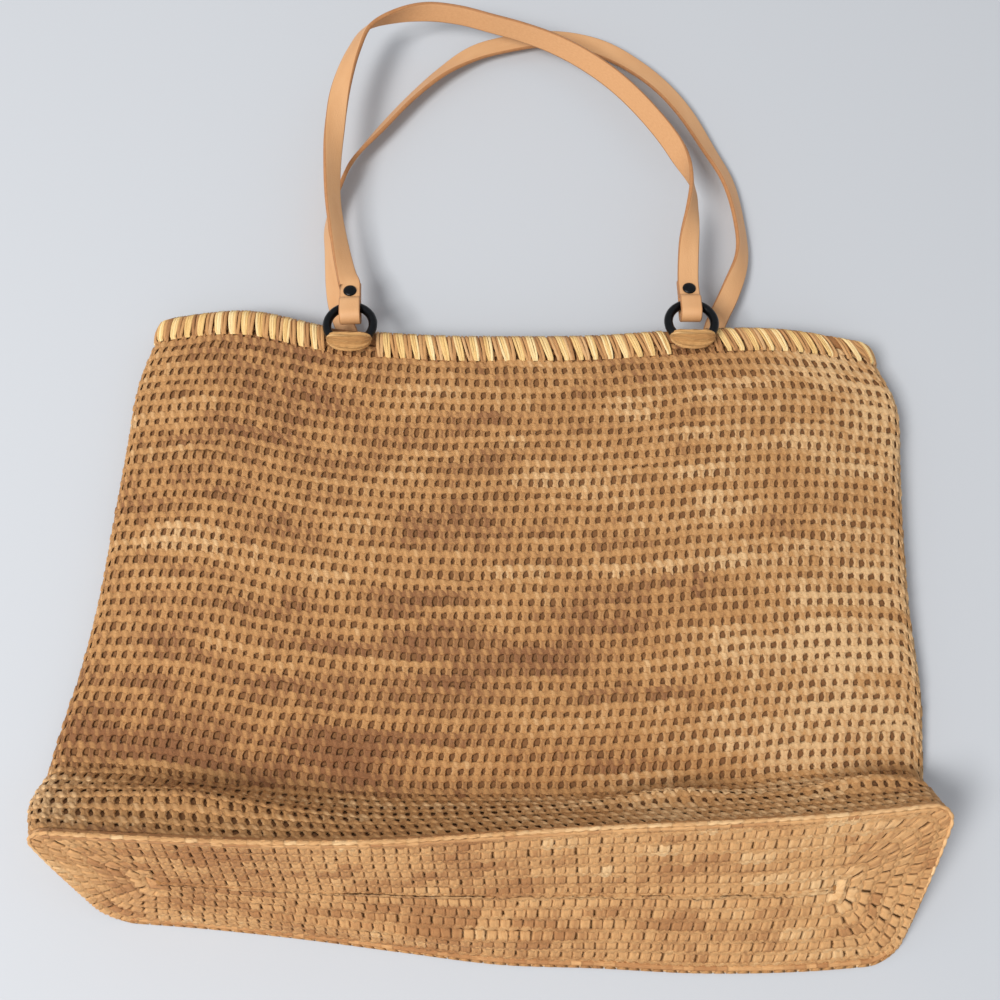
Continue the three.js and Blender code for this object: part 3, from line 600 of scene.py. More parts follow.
def posts(surface, g_rows, tops, to_place, tones, row_height, half, lift):
    """A post a stitch, from under the row's chain to the row below: a flat tube with a groove along its
    middle, closed at both ends. It flares at its ends, which rounds the holes between the posts."""
    rows, count = g_rows.shape[0], g_rows.shape[1] // FINE
    shape = (rows, count, 1, 1)
    t, flare, dip = (POST_SHAPE[key][:, None] for key in ("t", "half", "dip"))
    across, out = POST_SECTION["side"], POST_SECTION["rise"]
    wide = np.minimum(half * flare * rng.uniform(0.75, 1.2, shape), STITCH_PITCH / 2)
    lean = rng.uniform(-POST_LEAN, POST_LEAN, shape)
    middle = 0.5 + rng.uniform(-0.06, 0.06, shape) + lean * (t - 0.5)
    index = np.arange(count)[None, :, None, None] + middle + wide * across / STITCH_PITCH
    place = np.maximum(tops[:, None, None, None] - to_place * row_height * t + 0 * index, 0.002)
    height = lift + dip + POST_THICK * out + 0 * index
    points = surface(turns_at(g_rows, index), place, height)
    # Painted shade: each post is coloured darker along its groove, plus a random tone for each post.
    shade = POST_SHADE * (1 - np.abs(across)) + rng.uniform(-0.08, 0.08, shape)
    tone = tones[:, :, None, None] - shade + 0 * index
    along = row_height * t + 30 * rng.random(shape) + 0 * index
    strand = np.stack([along, wide * across + 0 * index, tone], -1)
    steps, sides = len(t), len(across)
    caps = np.concatenate([POST_CAP[:, ::-1], POST_CAP + (steps - 1) * sides])
    one = np.concatenate([sheet_quads(steps, sides, False), caps])
    start = np.arange(rows * count)[:, None, None] * steps * sides
    return points.reshape(-1, 3), strand.reshape(-1, 3), (one[None] + start).reshape(-1, 4)


def joined(parts):
    """Several sets of points, strand numbers and quads as one set."""
    starts = np.cumsum([0] + [len(points) for points, _, _ in parts[:-1]])
    points, strands, quads = zip(*parts)
    quads = [some + start for some, start in zip(quads, starts)]
    return np.concatenate(points), np.concatenate(strands), np.concatenate(quads)


def raffia_material(name, dark, middle, light):
    """Dry palm fibre: each strand has its own tone, fine lines run along it, and it is dull with a
    faint shine where the fibres are smooth."""
    finish = Finish(name)
    along, across, tone = finish.parts("strand")
    fibres = finish.noise(finish.vector(along * 0.22, across * 3.4, tone * 37.0), 1.0, 3.0, 0.6)
    patches = finish.noise(finish.vector(along * 0.05, across * 0.1, tone * 11.0), 1.0, 2.0)
    wide = finish.noise(finish.node("ShaderNodeTexCoord", {}, {}, 3), 9.0, 2.0)
    level = tone + (fibres - 0.5) * 0.5 + (patches - 0.5) * 0.35 + (wide - 0.5) * 0.9
    color = finish.mix(finish.clamp(level, 0.0, 0.5), dark, middle)
    color = finish.mix(finish.clamp(level, 0.5, 1.0), color, light)
    normal = finish.bump(fibres, 0.0007)
    rough = 0.5 + fibres * 0.35
    values = {"Base Color": color, "Roughness": rough, "Normal": normal, "Specular IOR Level": 0.35}
    return finish.done(values)


wall_raffia = raffia_material("wall_raffia", "986640", "ce985f", "edc18b")
STITCH_COUNT = round(evenly(wall_skin, 0.5, 10)[1] / STITCH_PITCH)
row_tops = (np.arange(ROW_COUNT) + ROW_TOP) / ROW_COUNT
row_turns = np.stack([evenly(wall_skin, v, STITCH_COUNT * FINE)[0] for v in row_tops])
shift = (ROW_SHIFT * np.arange(ROW_COUNT) + rng.uniform(-0.1, 0.1, ROW_COUNT)) % 1
row_turns = turns_at(row_turns, np.arange(STITCH_COUNT * FINE + 1) / FINE + shift[:, None])
row_tones = 0.5 + 0.1 * drift(ROW_COUNT, STITCH_COUNT, 8)
row_tones += 0.05 * rng.standard_normal((ROW_COUNT, STITCH_COUNT))
row_tones += 0.05 * rng.standard_normal((ROW_COUNT, 1))
# Painted light: the strip's rows are coloured paler, standing in for light on the shaded strip.
row_tones[:STRIP_ROWS] += STRIP_PALE
stitch_x = wall_skin(row_turns, row_tops[:, None] + 0 * row_turns)[:, :-1:FINE, 0]
row_tones[STRIP_ROWS:] += PALE_SIDE * smooth(stitch_x[STRIP_ROWS:], 40.0, 210.0)
# Painted shade: the rows round the crease are coloured darker, fading out towards the right.
in_crease = np.exp(-(((np.arange(ROW_COUNT)[:, None] - STRIP_ROWS - 0.5) / 1.4) ** 2))
row_tones -= CREASE_SHADE * in_crease * (1 - smooth(stitch_x, -60.0, 140.0))
ROW_HEIGHT = BACK_LENGTH / ROW_COUNT * 1.04
ROW_GROUPS = {
    "strip_stitches": (0, STRIP_ROWS),
    "low_stitches": (STRIP_ROWS, 17),
    "middle_stitches": (17, 25),
    "high_stitches": (25, 33),
    "top_stitches": (33, ROW_COUNT),
}
for name, (first, last) in ROW_GROUPS.items():
    turns, tops, tones = row_turns[first:last], row_tops[first:last], row_tones[first:last]
    chain = band(wall, turns, tops, 1 / BACK_LENGTH, tones, BAND_HALF)
    wide = STRIP_WIDE if first == 0 else 1.0
    stems = posts(wall, turns, tops, 1 / BACK_LENGTH, tones, ROW_HEIGHT, wide, POST_LIFT)
    points, strand, quads = joined([chain, stems])
    piece(name, points, quads, wall_raffia, strand=strand)


# The base: the same stitches in rounds that shrink from the seam to the base's middle line, painted
# paler as painted light because the folded base faces the light.
BASE_ROUNDS = 7
BASE_HALF = BASE_DEPTH / 2
BASE_ROW_HEIGHT = BASE_HALF / BASE_ROUNDS * 1.04
BASE_BAND_HALF = 2.0
BASE_POST_HALF = 1.95
BASE_POST_LIFT = -0.85

base_raffia_painted_light = raffia_material("base_raffia_painted_light", "b98150", "e0aa70", "f5ca93")
parts = []
for top in (np.arange(BASE_ROUNDS) + ROW_TOP) / BASE_ROUNDS:
    length = evenly(base_skin, top, 10)[1]
    count = round(length / STITCH_PITCH)
    turns = evenly(base_skin, top, count * FINE)[0][None]
    tones = 0.5 + 0.12 * drift(1, count, 7) + 0.08 * rng.standard_normal((1, count))
    tops = np.array([top])
    chain = band(base, turns, tops, 1 / BASE_HALF, tones, BASE_BAND_HALF)
    stems = posts(base, turns, tops, 1 / BASE_HALF, tones, BASE_ROW_HEIGHT, BASE_POST_HALF, BASE_POST_LIFT)
    parts += [chain, stems]
points, strand, quads = joined(parts)
piece("base_stitches", points, quads[:, ::-1], base_raffia_painted_light, strand=strand)


# The seam: a chain of slip stitches that joins wall and base, light where it stands up as the ridge.
SEAM_BEADS = 6
SEAM_HALF = 1.15
SEAM_SIDES = 6
SEAM_LIFT_BACK = -1.7
SEAM_LIFT_FRONT = -0.9
SEAM_CORD_HALF = 2.2
SEAM_CORD_LIFT = -3.6
SEAM_TONE = 0.62
SEAM_CORD_TONE = 0.2
FLOOR_CLEAR = 0.05


def seam_tube(half, front_lift, back_lift, beads):
    """A tube along the seam, on the line halfway between the two skins' outward ways. Its lift grows
    from the back to the front, and where beads is set it swells once a stitch on a slanted line."""
    count = round(evenly(wall_skin, 0.0, 10)[1] / STITCH_PITCH)
    steps = count * SEAM_BEADS
    g = evenly(wall_skin, 0.0, steps)[0][:-1]
    low, one = np.full_like(g, 0.003), np.ones_like(g)
    corner = wall_skin(g, 0 * g)
    out = wall(g, low, one) - wall(g, low, 0 * g) + base(g, low, one) - base(g, low, 0 * g)
    out /= np.linalg.norm(out, axis=1, keepdims=True)
    way = np.roll(corner, -1, axis=0) - np.roll(corner, 1, axis=0)
    way /= np.linalg.norm(way, axis=1, keepdims=True)
    side = np.cross(way, out)[:, None]
    turn = 2 * np.pi * np.arange(SEAM_SIDES) / SEAM_SIDES
    front = smooth(loop_place(g, 0 * g)[1], -0.6, 0.8)
    a = np.arange(steps)[:, None] / SEAM_BEADS
    swell = 0.5 + 0.5 * np.abs(np.sin(np.pi * (a + 0.28 * np.cos(turn)))) ** 0.8 if beads else 1.0
    radius = half * swell * (0.8 + 0.2 * front[:, None]) + 0 * turn
    centre = corner + out * (back_lift + (front_lift - back_lift) * front)[:, None]
    round_way = np.cos(turn)[:, None] * side + np.sin(turn)[:, None] * out[:, None]
    points = centre[:, None] + radius[..., None] * round_way
    points[..., 2] = np.maximum(points[..., 2], FLOOR_CLEAR)
    tone = (SEAM_TONE if beads else SEAM_CORD_TONE) + 0.12 * np.repeat(rng.standard_normal(count), SEAM_BEADS)[:, None]
    strand = [a * STITCH_PITCH + 0 * radius, half * np.cos(turn) + 0 * radius, tone + 0 * radius]
    strand = np.stack(strand, -1)
    return points.reshape(-1, 3), strand.reshape(-1, 3), sheet_quads(steps, SEAM_SIDES, True)


chain = seam_tube(SEAM_HALF, SEAM_LIFT_FRONT, SEAM_LIFT_BACK, True)
cord = seam_tube(SEAM_CORD_HALF, SEAM_CORD_LIFT, SEAM_CORD_LIFT, False)
points, strand, quads = joined([chain, cord])
# The seam takes the base's raffia, whose paler colours are painted light.
piece("seam_stitches", points, quads, base_raffia_painted_light, strand=strand)


# The rim: a brown raffia cord laid on the last row and bound to it with cream whip stitches, each of
# three flat strands, with two tan strands in each gap. The stitches lean, a few cream ones are
# missing, and none is left where a ring is sewn on.
RIM_THICK = 5.4
RIM_TALL = 8.0
RIM_GAP = 0.5
RIM_SIDES = 12
RIM_STEPS = 400
WHIP_PITCH = 8.3
WHIP_LEAN = 0.19
WHIP_MISSING = 0.07
WHIP_STRANDS = (-1.35, 0.0, 1.35)
WHIP_HALF = 0.85
WHIP_THICK = 0.5
WRAP_STRANDS = (-1.1, 1.1)
WRAP_HALF = 1.1
WRAP_THICK = 0.35
WHIP_STEPS = 14
WHIP_SIDES = 6
WHIP_STEP = 0.01
WHIP_CAP = np.array([[0, 1, 2, 5], [5, 2, 3, 4]])
WHIP_ROUTE = columns(
    "t side tall spread",
    [
        (0.0, 0.5, -5.6, 0.5),
        (0.06, 1.7, -4.9, 0.62),
        (0.18, 2.4, -2.6, 0.85),
        (0.3, 3.15, 1.2, 1.0),
        (0.42, 3.15, 5.0, 1.0),
        (0.49, 2.2, 7.9, 1.0),
        (0.54, 0.0, 9.2, 1.0),
        (0.59, -2.2, 7.9, 1.0),
        (0.66, -3.15, 5.0, 1.0),
        (0.78, -3.15, 1.2, 1.0),
        (0.92, -2.0, -2.4, 0.8),
        (1.0, -0.6, -3.6, 0.6),
    ],
)
RIM_LENGTH = evenly(wall_skin, 1.0, 10)[1]


def rim_point(g, side, tall):
    """A point beside the top edge: tall is the distance past it and side the distance out of it."""
    top = wall_skin(g, np.ones_like(g))
    outer = lifted(wall_skin, g, np.ones_like(g), np.ones_like(g), 1) - top
    up = top - wall_skin(g, np.full_like(g, 0.97))
    up /= np.linalg.norm(up, axis=-1, keepdims=True)
    side = np.asarray(side) - FABRIC / 2
    return top + outer * side[..., None] + up * np.asarray(tall)[..., None]


def rim_cord():
    """A closed cord of a flat oval section with shallow ribs that lean along it."""
    g = evenly(wall_skin, 1.0, RIM_STEPS)[0][:-1, None]
    turn = 2 * np.pi * np.arange(RIM_SIDES)[None, :] / RIM_SIDES
    along = np.arange(RIM_STEPS)[:, None] * RIM_LENGTH / RIM_STEPS
    rib = 1 + 0.05 * np.sin(2 * np.pi * along / 4.5 + 2 * turn)
    side = RIM_THICK / 2 * rib * np.sign(np.cos(turn)) * np.abs(np.cos(turn)) ** 0.7
    tall = RIM_GAP + RIM_TALL / 2 * (1 + rib * np.sin(turn))
    points = rim_point(g + 0 * side, side, tall)
    strand = np.stack([along + 3 * turn, tall + 0 * along, 0.4 + 0 * side], -1)
    return points, sheet_quads(RIM_STEPS, RIM_SIDES, True)[:, ::-1], strand


brown_raffia = raffia_material("brown_raffia", "79502c", "a87243", "cb9560")
points, quads, strand = rim_cord()
piece("rim_cord", points, quads, brown_raffia, ["rim_band"], strand)

# Where the rings hang: 1 is the front rim and -1 the back rim, across is a share of half the mouth.
RINGS = {
    "front_left": (1, -0.447, -14.0, 3.0),
    "front_right": (1, 0.483, -14.0, 0.0),
    "back_left": (-1, -0.441, 2.6, 8.0),
    "back_right": (-1, 0.495, 2.6, -26.0),
}
TAB_HALF = 13.0


def whip_stitches(shift, strands, half, thick, missing, tone_low, tone_high):
    """Strands carried over the rim on one route in its cross section. A strand's place along the rim
    moves with the route's height, which makes the stitch lean. Shift moves all by a share of the pitch."""
    count = round(RIM_LENGTH / WHIP_PITCH)
    lengths = np.arange(count + 1) * RIM_LENGTH / count
    g_edges = evenly(wall_skin, 1.0, count)[0]
    middle = lengths[:-1] + (shift + rng.uniform(-0.07, 0.07, count)) * RIM_LENGTH / count
    g_mid = np.interp(middle, lengths, g_edges)
    x = wall_skin(g_mid, np.ones(count))[:, 0]
    kept = rng.random(count) > missing
    for face, across, _, _ in RINGS.values():
        ring_x = read(ALONG, "shift", 1.0) * BODY_WIDTH + read(ALONG, "width", 1.0) * BODY_WIDTH / 2 * across
        same_face = (g_mid < 1) if face == 1 else (g_mid > 4) & (g_mid < 5)
        kept &= ~((np.abs(x - ring_x) < TAB_HALF) & same_face)
    middle = middle[kept][:, None, None, None]
    n, m = middle.shape[0], len(strands)
    t = np.linspace(0, 1, WHIP_STEPS)[None, None, :, None]
    turn = 2 * np.pi * (np.arange(WHIP_SIDES) + 0.5)[None, None, None, :] / WHIP_SIDES
    spread = np.array(strands)[None, :, None, None] * read(WHIP_ROUTE, "spread", t)
    side, tall = read(WHIP_ROUTE, "side", t), read(WHIP_ROUTE, "tall", t)
    d_side = read(WHIP_ROUTE, "side", t + WHIP_STEP) - read(WHIP_ROUTE, "side", t - WHIP_STEP)
    d_tall = read(WHIP_ROUTE, "tall", t + WHIP_STEP) - read(WHIP_ROUTE, "tall", t - WHIP_STEP)
    size = np.hypot(d_side, d_tall)
    lift = thick * np.sin(turn) * rng.uniform(0.8, 1.2, (n, m, 1, 1))
    wide = half * rng.uniform(0.8, 1.1, (n, m, 1, 1))
    jitter = rng.uniform(-0.5, 0.5, (n, 1, 1, 1)) + rng.uniform(-0.2, 0.2, (n, m, 1, 1))
    lean = WHIP_LEAN + rng.uniform(-0.08, 0.08, (n, 1, 1, 1))
    place = middle + spread + jitter - lean * (tall - 2) + wide * np.cos(turn)
    g = np.interp(np.mod(place, RIM_LENGTH), lengths, g_edges)
    points = rim_point(g, side + lift * d_tall / size, tall - lift * d_side / size)
    tone = rng.uniform(tone_low, tone_high, (n, m, 1, 1)) + 0 * place
    along = 14 * t + 40 * rng.random((n, m, 1, 1)) + 0 * place
    strand = np.stack([along, wide * np.cos(turn) + 0 * place, tone], -1)
    last = (WHIP_STEPS - 1) * WHIP_SIDES
    caps = np.concatenate([WHIP_CAP, WHIP_CAP[:, ::-1] + last])
    one = np.concatenate([sheet_quads(WHIP_STEPS, WHIP_SIDES, False), caps])
    start = np.arange(n * m)[:, None, None] * WHIP_STEPS * WHIP_SIDES
    return points.reshape(-1, 3), strand.reshape(-1, 3), (one + start).reshape(-1, 4)[:, ::-1]


points, strand, quads = whip_stitches(0.0, WRAP_STRANDS, WRAP_HALF, WRAP_THICK, 0.0, 0.2, 0.8)
piece("rim_wraps", points, quads, wall_raffia, strand=strand)
cream_raffia = raffia_material("cream_raffia", "cf9a55", "f3c983", "ffe2a8")
points, strand, quads = whip_stitches(
    0.5, WHIP_STRANDS, WHIP_HALF, WHIP_THICK, WHIP_MISSING, 0.3, 0.95
)
piece("whip_stitches", points, quads, cream_raffia, strand=strand)


# The rings: black plated wire, each sewn to the rim by a wound raffia tab.
RING_RADIUS = 13.0
RING_STOCK = 5.0
RING_STEPS = 60
WIRE_SIDES = 20
TAB_WALL = 1.8
TAB_SWEEP = 96.0
TAB_DROP = 11.0
TAB_SPARE = 1.6
CLEARANCE = 0.3
SLEEVE = RING_STOCK / 2 + CLEARANCE + TAB_WALL
TAB_LENGTH = 26.0
TAB_TALL = 5.6
TAB_DEEP = 5.8
TAB_RISE = 1.4
TAB_CURL = 2.0
TAB_RIBS = 9
TAB_GROOVE = 0.24
TAB_WIND = 0.9
TAB_STEPS = 32
TAB_SIDES = 54


def unit(vector):
    return vector / np.linalg.norm(vector)


def ring_frame(face, across, tilt):
    """A ring's middle, the way from its tab to its far side, and the way out of its plane."""
    share = (across + 1) / 2 if face == 1 else 4 + (1 - across) / 2
    g = np.array(share)
    top, below = wall_skin(g, np.array(1.0)), wall_skin(g, np.array(0.97))
    up = unit(top - below)
    out = np.array([0.0, -up[2], up[1]]) * face
    tilt = np.radians(tilt)
    reach = np.array([0.0, np.cos(tilt), np.sin(tilt)])
    plane = np.array([0.0, -np.sin(tilt), np.cos(tilt)])
    lean = TAB_SPARE * RING_RADIUS * (1 - np.cos(np.radians(TAB_SWEEP / 2))) * abs(np.sin(tilt))
    stand = (RIM_THICK - FABRIC) / 2 + CLEARANCE + SLEEVE + lean
    low = top + up * (RIM_GAP + RIM_TALL - TAB_DROP) + out * stand
    half = read(ALONG, "width", 1.0) * BODY_WIDTH / 2
    low[0] = read(ALONG, "shift", 1.0) * BODY_WIDTH + half * across
    return low + reach * RING_RADIUS, reach, plane


def wire_tube(middle, reach, plane, angles, radii, sides):
    """A tube round a circle in the ring's plane: angles along it, with a radius for each."""
    turn = 2 * np.pi * np.arange(sides)[None, :] / sides
    way = np.cos(angles)[:, None] * np.array([1.0, 0, 0]) + np.sin(angles)[:, None] * reach
    out = RING_RADIUS + radii[:, None] * np.cos(turn)
    return middle + way[:, None] * out[..., None] + plane * (radii[:, None] * np.sin(turn))[..., None]


def metal_material():
    """Black plating: glossy, faintly uneven, with tiny pits."""
    finish = Finish("black_metal")
    place = finish.node("ShaderNodeTexCoord", {}, {}, 3)
    haze = finish.noise(place, 420.0, 3.0)
    pits = finish.noise(place, 2600.0, 2.0)
    color = finish.mix(haze, "0d0e10", "1d1f22")
    rough = 0.2 + haze * 0.22
    normal = finish.bump(pits, 0.00006)
    return finish.done({"Base Color": color, "Metallic": 0.75, "Roughness": rough, "Normal": normal})


def raffia_knot(middle, reach, plane):
    """The bundle of strands that holds a ring: a spindle across the ring's lowest part, closed to a
    point at both ends, with a rib for each strand that winds a little round it."""
    t = np.linspace(-1, 1, TAB_STEPS)[:, None]
    turn = 2 * np.pi * np.arange(TAB_SIDES)[None, :] / TAB_SIDES
    rib = 1 - TAB_GROOVE * np.abs(np.sin(TAB_RIBS / 2 * turn + TAB_WIND * t))
    swell = np.sqrt(np.clip(1 - np.abs(t) ** 3, 0, 1)) * rib
    axis = middle + reach * (TAB_RISE - RING_RADIUS)
    up = TAB_TALL * swell * np.sin(turn) + TAB_CURL * t**2
    out = TAB_DEEP * swell * np.cos(turn)
    points = axis + (TAB_LENGTH / 2 * t + 0 * turn)[..., None] * np.array([1.0, 0, 0])
    points = points + up[..., None] * reach + out[..., None] * plane
    number = np.floor((turn + 2 * TAB_WIND / TAB_RIBS * t) * TAB_RIBS / (2 * np.pi))
    tone = 0.55 + 0.3 * np.sin(5.3 * number)
    strand = np.stack([TAB_LENGTH / 2 * t + 0 * turn, TAB_TALL * turn + 0 * t, tone], -1)
    return points, strand, sheet_quads(TAB_STEPS, TAB_SIDES, False)


black_metal = metal_material()
tab_raffia = raffia_material("tab_raffia", "a9733f", "d6a264", "efc68c")
for name, (face, across, tilt, _) in RINGS.items():
    middle, reach, plane = ring_frame(face, across, tilt)
    angles = 2 * np.pi * np.arange(RING_STEPS) / RING_STEPS
    points = wire_tube(middle, reach, plane, angles, np.full(RING_STEPS, RING_STOCK / 2), WIRE_SIDES)
    quads = sheet_quads(RING_STEPS, WIRE_SIDES, True)
    piece("wire_" + name, points, quads, black_metal, ["ring_" + name])

    points, strand, quads = raffia_knot(middle, reach, plane)
    replaced = ["ring_tab_" + name]
    piece("tab_" + name, points, quads, tab_raffia, replaced, strand, weld=True)


# The straps: vegetable tanned leather, smooth and light on the face and darker on the flesh side. Each
# end is folded round its ring, and the strap twists as it lies.
STRAP_WIDTH = 12.0
STRAP_THICK = 2.4
STRAP_BEVEL = 0.7
STRAP_FLAT = 5.3
FOLD_SLACK = 6.0
RIVET_REACH = 9.0
STRAP_TAIL = 8.0
LAYER_GAP = 0.5
CLOSE_FROM = 1.0
RIVET_CAP = 7.6
FOLD_RADIUS = RING_STOCK / 2 + LAYER_GAP + STRAP_THICK / 2
PINCH = (STRAP_THICK + LAYER_GAP) / 2
ROUTE_STEPS = 190
FRONT_ROUTE = columns(
    "place across up rise roll",
    [
        (1, -0.015, 0.067, 0.77, -25),
        (2, -0.039, 0.176, 0.79, -44),
        (3, -0.062, 0.317, 0.85, -53),
        (4, -0.067, 0.453, 0.91, -44),
        (5, -0.062, 0.564, 0.96, -20),
        (6, -0.047, 0.701, 1.0, 10),
        (7, -0.011, 0.841, 1.0, 39),
        (8, 0.03, 0.927, 0.98, 57),
        (9, 0.115, 0.976, 0.93, 86),
        (10, 0.212, 0.998, 0.88, 112),
        (11, 0.313, 0.99, 0.84, 114),
        (12, 0.414, 0.962, 0.81, 114),
        (13, 0.515, 0.931, 0.78, 118),
        (14, 0.616, 0.888, 0.76, 126),
        (15, 0.716, 0.823, 0.76, 134),
        (16, 0.815, 0.732, 0.78, 140),
        (17, 0.91, 0.609, 0.82, 142),
        (18, 0.981, 0.485, 0.87, 136),
        (19, 1.024, 0.366, 0.88, 78),
        (20, 1.022, 0.275, 0.87, 52),
        (21, 1.007, 0.152, 0.84, 10),
    ],
)
BACK_ROUTE = columns(
    "place across up rise roll",
    [
        (1, -0.05, 0.15, 0.62, 34),
        (2, -0.073, 0.303, 0.6, 60),
        (3, -0.081, 0.384, 0.6, 70),
        (4, -0.045, 0.522, 0.6, 70),
        (5, -0.018, 0.583, 0.6, 68),
        (6, 0.064, 0.689, 0.58, 54),
        (7, 0.153, 0.794, 0.56, 50),
        (8, 0.247, 0.883, 0.54, 38),
        (9, 0.343, 0.947, 0.5, 12),
        (10, 0.44, 0.978, 0.48, 7),
        (11, 0.537, 0.995, 0.48, 7),
        (12, 0.634, 0.991, 0.48, 8),
        (13, 0.736, 0.959, 0.48, 4),
        (14, 0.835, 0.896, 0.5, 14),
        (15, 0.908, 0.829, 0.52, 20),
        (16, 0.971, 0.746, 0.54, 25),
        (17, 1.035, 0.626, 0.57, 36),
        (18, 1.086, 0.523, 0.6, 44),
        (19, 1.112, 0.399, 0.64, 52),
        (20, 1.115, 0.284, 0.68, 47),
        (21, 1.075, 0.173, 0.7, 16),
        (22, 1.03, 0.08, 0.7, 6),
    ],
)
STRAPS = {"front": (FRONT_ROUTE, 186.0, 32.0), "back": (BACK_ROUTE, 212.0, 13.5)}


def strap_end(name):
    """The way along a strap's end from its ring, the way up through its layers, the middle of its
    fold, its rivet, and where its free part begins."""
    face, across, tilt, yaw = RINGS[name]
    middle, reach, plane = ring_frame(face, across, tilt)
    way = reach * np.cos(np.radians(yaw)) - np.array([np.sin(np.radians(yaw)), 0, 0])
    wire = middle + way * RING_RADIUS
    rivet = wire + way * RIVET_REACH + plane * PINCH
    return way, plane, wire - way * FOLD_SLACK, rivet, rivet + way * STRAP_FLAT


def fold_stations(end):
    """The folded end: the under layer from its tail, the turn round the ring, and the upper layer.
    The layers lie a wire apart at the ring and close up smoothly towards the rivet."""
    way, up, fold, _, _ = end
    rivet = FOLD_SLACK + RIVET_REACH
    past = FOLD_SLACK + CLOSE_FROM
    under = np.concatenate([np.linspace(rivet + STRAP_TAIL, rivet, 8), np.linspace(rivet, 0, 18)[1:-1]])
    upper = np.concatenate([np.linspace(0, rivet, 18)[1:], [rivet + STRAP_FLAT]])

    def gap(distance):
        return FOLD_RADIUS + (PINCH - FOLD_RADIUS) * smooth(distance, past, rivet - RIVET_CAP / 2)

    def layer(distance, side):
        height = gap(distance)
        slope = (gap(distance + 0.1) - gap(distance - 0.1)) / 0.2
        points = fold + way * distance[:, None] + up * (side * height)[:, None]
        normals = up * side - way * slope[:, None]
        return points, normals / np.linalg.norm(normals, axis=1, keepdims=True)

    turn = np.linspace(0, np.pi, 18)[:, None]
    out = -np.sin(turn) * way - np.cos(turn) * up
    low, high = layer(under, -1.0), layer(upper, 1.0)
    return np.concatenate([low[0], fold + out * FOLD_RADIUS, high[0]]), np.concatenate([low[1], out, high[1]])


def through(points, share):
    """A smooth curve through points, parted evenly between them: a cubic on each stretch, whose slopes
    take the fourth root of the squared distances to the neighbours as their steps."""
    first, last = 2 * points[0] - points[1], 2 * points[-1] - points[-2]
    padded = np.concatenate([[first], points, [last]])
    place = share * (len(points) - 1)
    i = np.clip(np.floor(place).astype(int), 0, len(points) - 2)
    t = (place - i)[:, None]
    a, b, c, d = (padded[i + k] for k in range(4))
    ab, bc, cd = (np.sqrt(np.linalg.norm(q - p, axis=1, keepdims=True)) for p, q in ((a, b), (b, c), (c, d)))
    start = ((b - a) / ab - (c - a) / (ab + bc) + (c - b) / bc) * bc
    end = ((c - b) / bc - (d - b) / (bc + cd) + (d - c) / cd) * bc
    return b + start * t + (3 * (c - b) - 2 * start - end) * t**2 + (2 * (b - c) + start + end) * t**3


def strap_stations(name):
    """Points and face normals of a whole strap. A station's normal is turned about the strap's own
    way: 0 degrees faces up and 90 degrees faces out of the loop."""
    route, reach, lift = STRAPS[name]
    left, right = strap_end(name + "_left"), strap_end(name + "_right")
    rows = left[3] + (right[3] - left[3]) * route["across"][:, None]
    rows[:, 1] += reach * route["up"]
    rows[:, 2] = lift * route["rise"]
    path = np.concatenate([[left[3], left[4]], rows, [right[4], right[3]]])
    last = len(rows) + 1
    place = last * np.arange(1, ROUTE_STEPS) / ROUTE_STEPS
    share = (place + 1) / (last + 2)
    points = through(path, share)
    tangent = through(path, share + 0.0005) - through(path, share - 0.0005)
    tangent /= np.linalg.norm(tangent, axis=1, keepdims=True)
    out = np.cross([0.0, 0.0, 1.0], tangent)
    out /= np.linalg.norm(out, axis=1, keepdims=True)
    up = np.cross(tangent, out)
    turns = {key: np.concatenate([[0], route[key], [end]]) for key, end in (("place", last), ("roll", 0))}
    roll = np.radians(read(turns, "roll", place))[:, None]
    normals = up * np.cos(roll) + out * np.sin(roll)
    start, finish = fold_stations(left), fold_stations(right)
    return (
        np.concatenate([start[0], points, finish[0][::-1]]),
        np.concatenate([start[1], normals, finish[1][::-1]]),
    )


def strap_section():
    """The strap's cross section as side, rise and face: 1 on the grain side, -1 on the flesh side and
    0 on the rounded edges."""
    half, thick = STRAP_WIDTH / 2, STRAP_THICK / 2
    flat = np.linspace(-1, 1, 7) * (half - STRAP_BEVEL)
    turn = np.radians([67.5, 22.5, -22.5, -67.5])
    edge_side = half - STRAP_BEVEL + STRAP_BEVEL * np.cos(turn)
    edge_rise = (thick - STRAP_BEVEL) * np.sign(np.sin(turn)) + STRAP_BEVEL * np.sin(turn)
    side = np.concatenate([flat, edge_side, flat[::-1], -edge_side[::-1]])
    rise = np.concatenate([np.full(7, thick), edge_rise, np.full(7, -thick), edge_rise[::-1]])
    face = np.concatenate([np.ones(7), np.zeros(4), -np.ones(7), np.zeros(4)])
    return side, rise, face


def leather_material():
    """Undyed leather: a satin grain face with fine pores and soft clouds, burnished edges, and a
    darker, rougher flesh side."""
    finish = Finish("leather")
    along, across, face = finish.parts("strand")
    clouds = finish.noise(finish.vector(along * 0.03, across * 0.12, 0.0), 1.0, 3.0)
    fibres = finish.noise(finish.vector(along * 0.5, across * 1.6, face * 3.0), 1.0, 4.0, 0.6)
    on_leather = finish.vector(along, across, face)
    pores = finish.node("ShaderNodeTexVoronoi", {}, {"Vector": on_leather, "Scale": 2.4})
    grain = finish.mix(clouds, "cc9461", "e0ae7c")
    flesh = finish.mix(fibres, "c28a5a", "dba877")
    edge = finish.mix(fibres, "a0693f", "c28a58")
    color = finish.mix(finish.clamp(face, 0.1, 0.8), edge, grain)
    color = finish.mix(finish.clamp(0.0 - face, 0.2, 0.8), color, flesh)
    rough = 0.42 + finish.clamp(0.0 - face, 0.0, 0.8) * 0.35 + clouds * 0.1
    normal = finish.bump(pores * 0.4 + fibres * 0.6, 0.0003)
    values = {"Base Color": color, "Roughness": rough, "Normal": normal, "Specular IOR Level": 0.35}
    return finish.done(values)


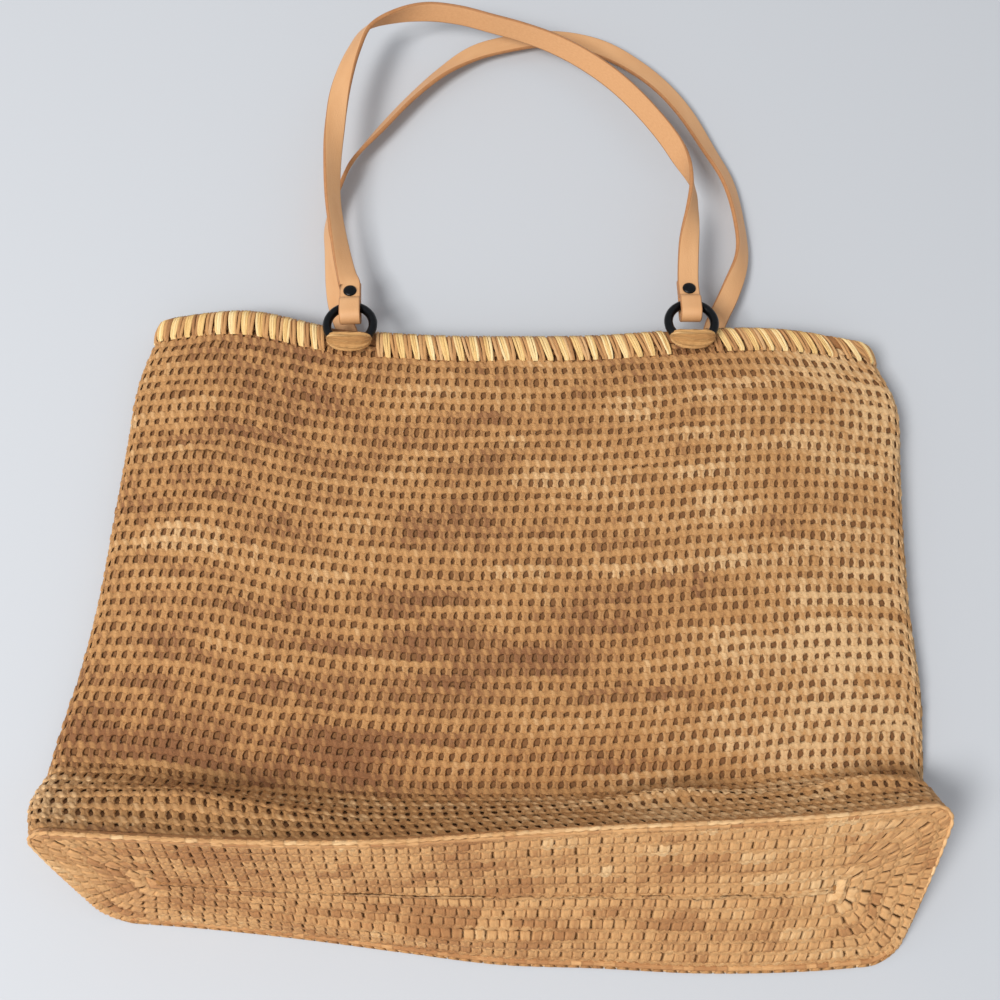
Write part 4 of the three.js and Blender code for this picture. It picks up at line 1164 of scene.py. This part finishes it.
flat = [[k, k + 1, 16 - k, 17 - k] for k in range(6)]
STRAP_CAP = np.array(flat + [[6, 7, 10, 11], [7, 8, 9, 10], [17, 18, 21, 0], [18, 19, 20, 21]])
leather = leather_material()
for name in STRAPS:
    points, normals = strap_stations(name)
    way = np.gradient(points, axis=0)
    wide = np.cross(way, normals)
    wide /= np.linalg.norm(wide, axis=1, keepdims=True)
    side, rise, face = strap_section()
    mesh_points = points[:, None] + wide[:, None] * side[:, None] + normals[:, None] * rise[:, None]
    along = np.concatenate([[0], np.cumsum(np.linalg.norm(np.diff(points, axis=0), axis=1))])[:, None]
    strand = np.stack([along + 0 * side, side + 0 * along, face + 0 * along], -1)
    tube = sheet_quads(len(points), len(side), False)
    last = STRAP_CAP + (len(points) - 1) * len(side)
    quads = np.concatenate([tube, STRAP_CAP[:, ::-1], last])
    piece("strap_leather_" + name, mesh_points, quads, leather, ["strap_" + name], strand)


# The rivets: a domed black cap on the strap, a shank through both layers and a flat cap beneath.
RIVET_FOOT = 5.4
CAP_RISE = 1.6
RIVET_SIDES = 32
LAYERS_LOW = -STRAP_THICK * 1.5 - LAYER_GAP


def rivet_points(name):
    """A profile of radius and height turned round the rivet's axis, with both ends on the axis."""
    way, up, _, rivet, _ = strap_end(name)
    cap, foot, top = RIVET_CAP / 2, RIVET_FOOT / 2, STRAP_THICK / 2
    dome = np.radians(np.linspace(0, 90, 9))
    low, lip = LAYERS_LOW, top + 0.3
    stem = [(0, low - 0.8), (foot - 0.3, low - 0.8), (foot, low - 0.5), (foot, low), (1.5, low), (1.5, top)]
    rows = np.array(stem + [(cap - 0.15, top), (cap, top + 0.15)])
    radius = np.concatenate([rows[:, 0], cap * np.abs(np.cos(dome)) ** 0.8])
    height = np.concatenate([rows[:, 1], lip + (CAP_RISE - 0.3) * np.sin(dome)])
    turn = 2 * np.pi * np.arange(RIVET_SIDES) / RIVET_SIDES
    side = np.cross(up, way)
    ring = np.cos(turn)[:, None] * way + np.sin(turn)[:, None] * side
    return rivet + radius[:, None, None] * ring + height[:, None, None] * up


for name in RINGS:
    points = rivet_points(name)
    quads = sheet_quads(points.shape[0], RIVET_SIDES, False)
    piece("rivet_cap_" + name, points, quads, black_metal, ["rivet_" + name], weld=True)
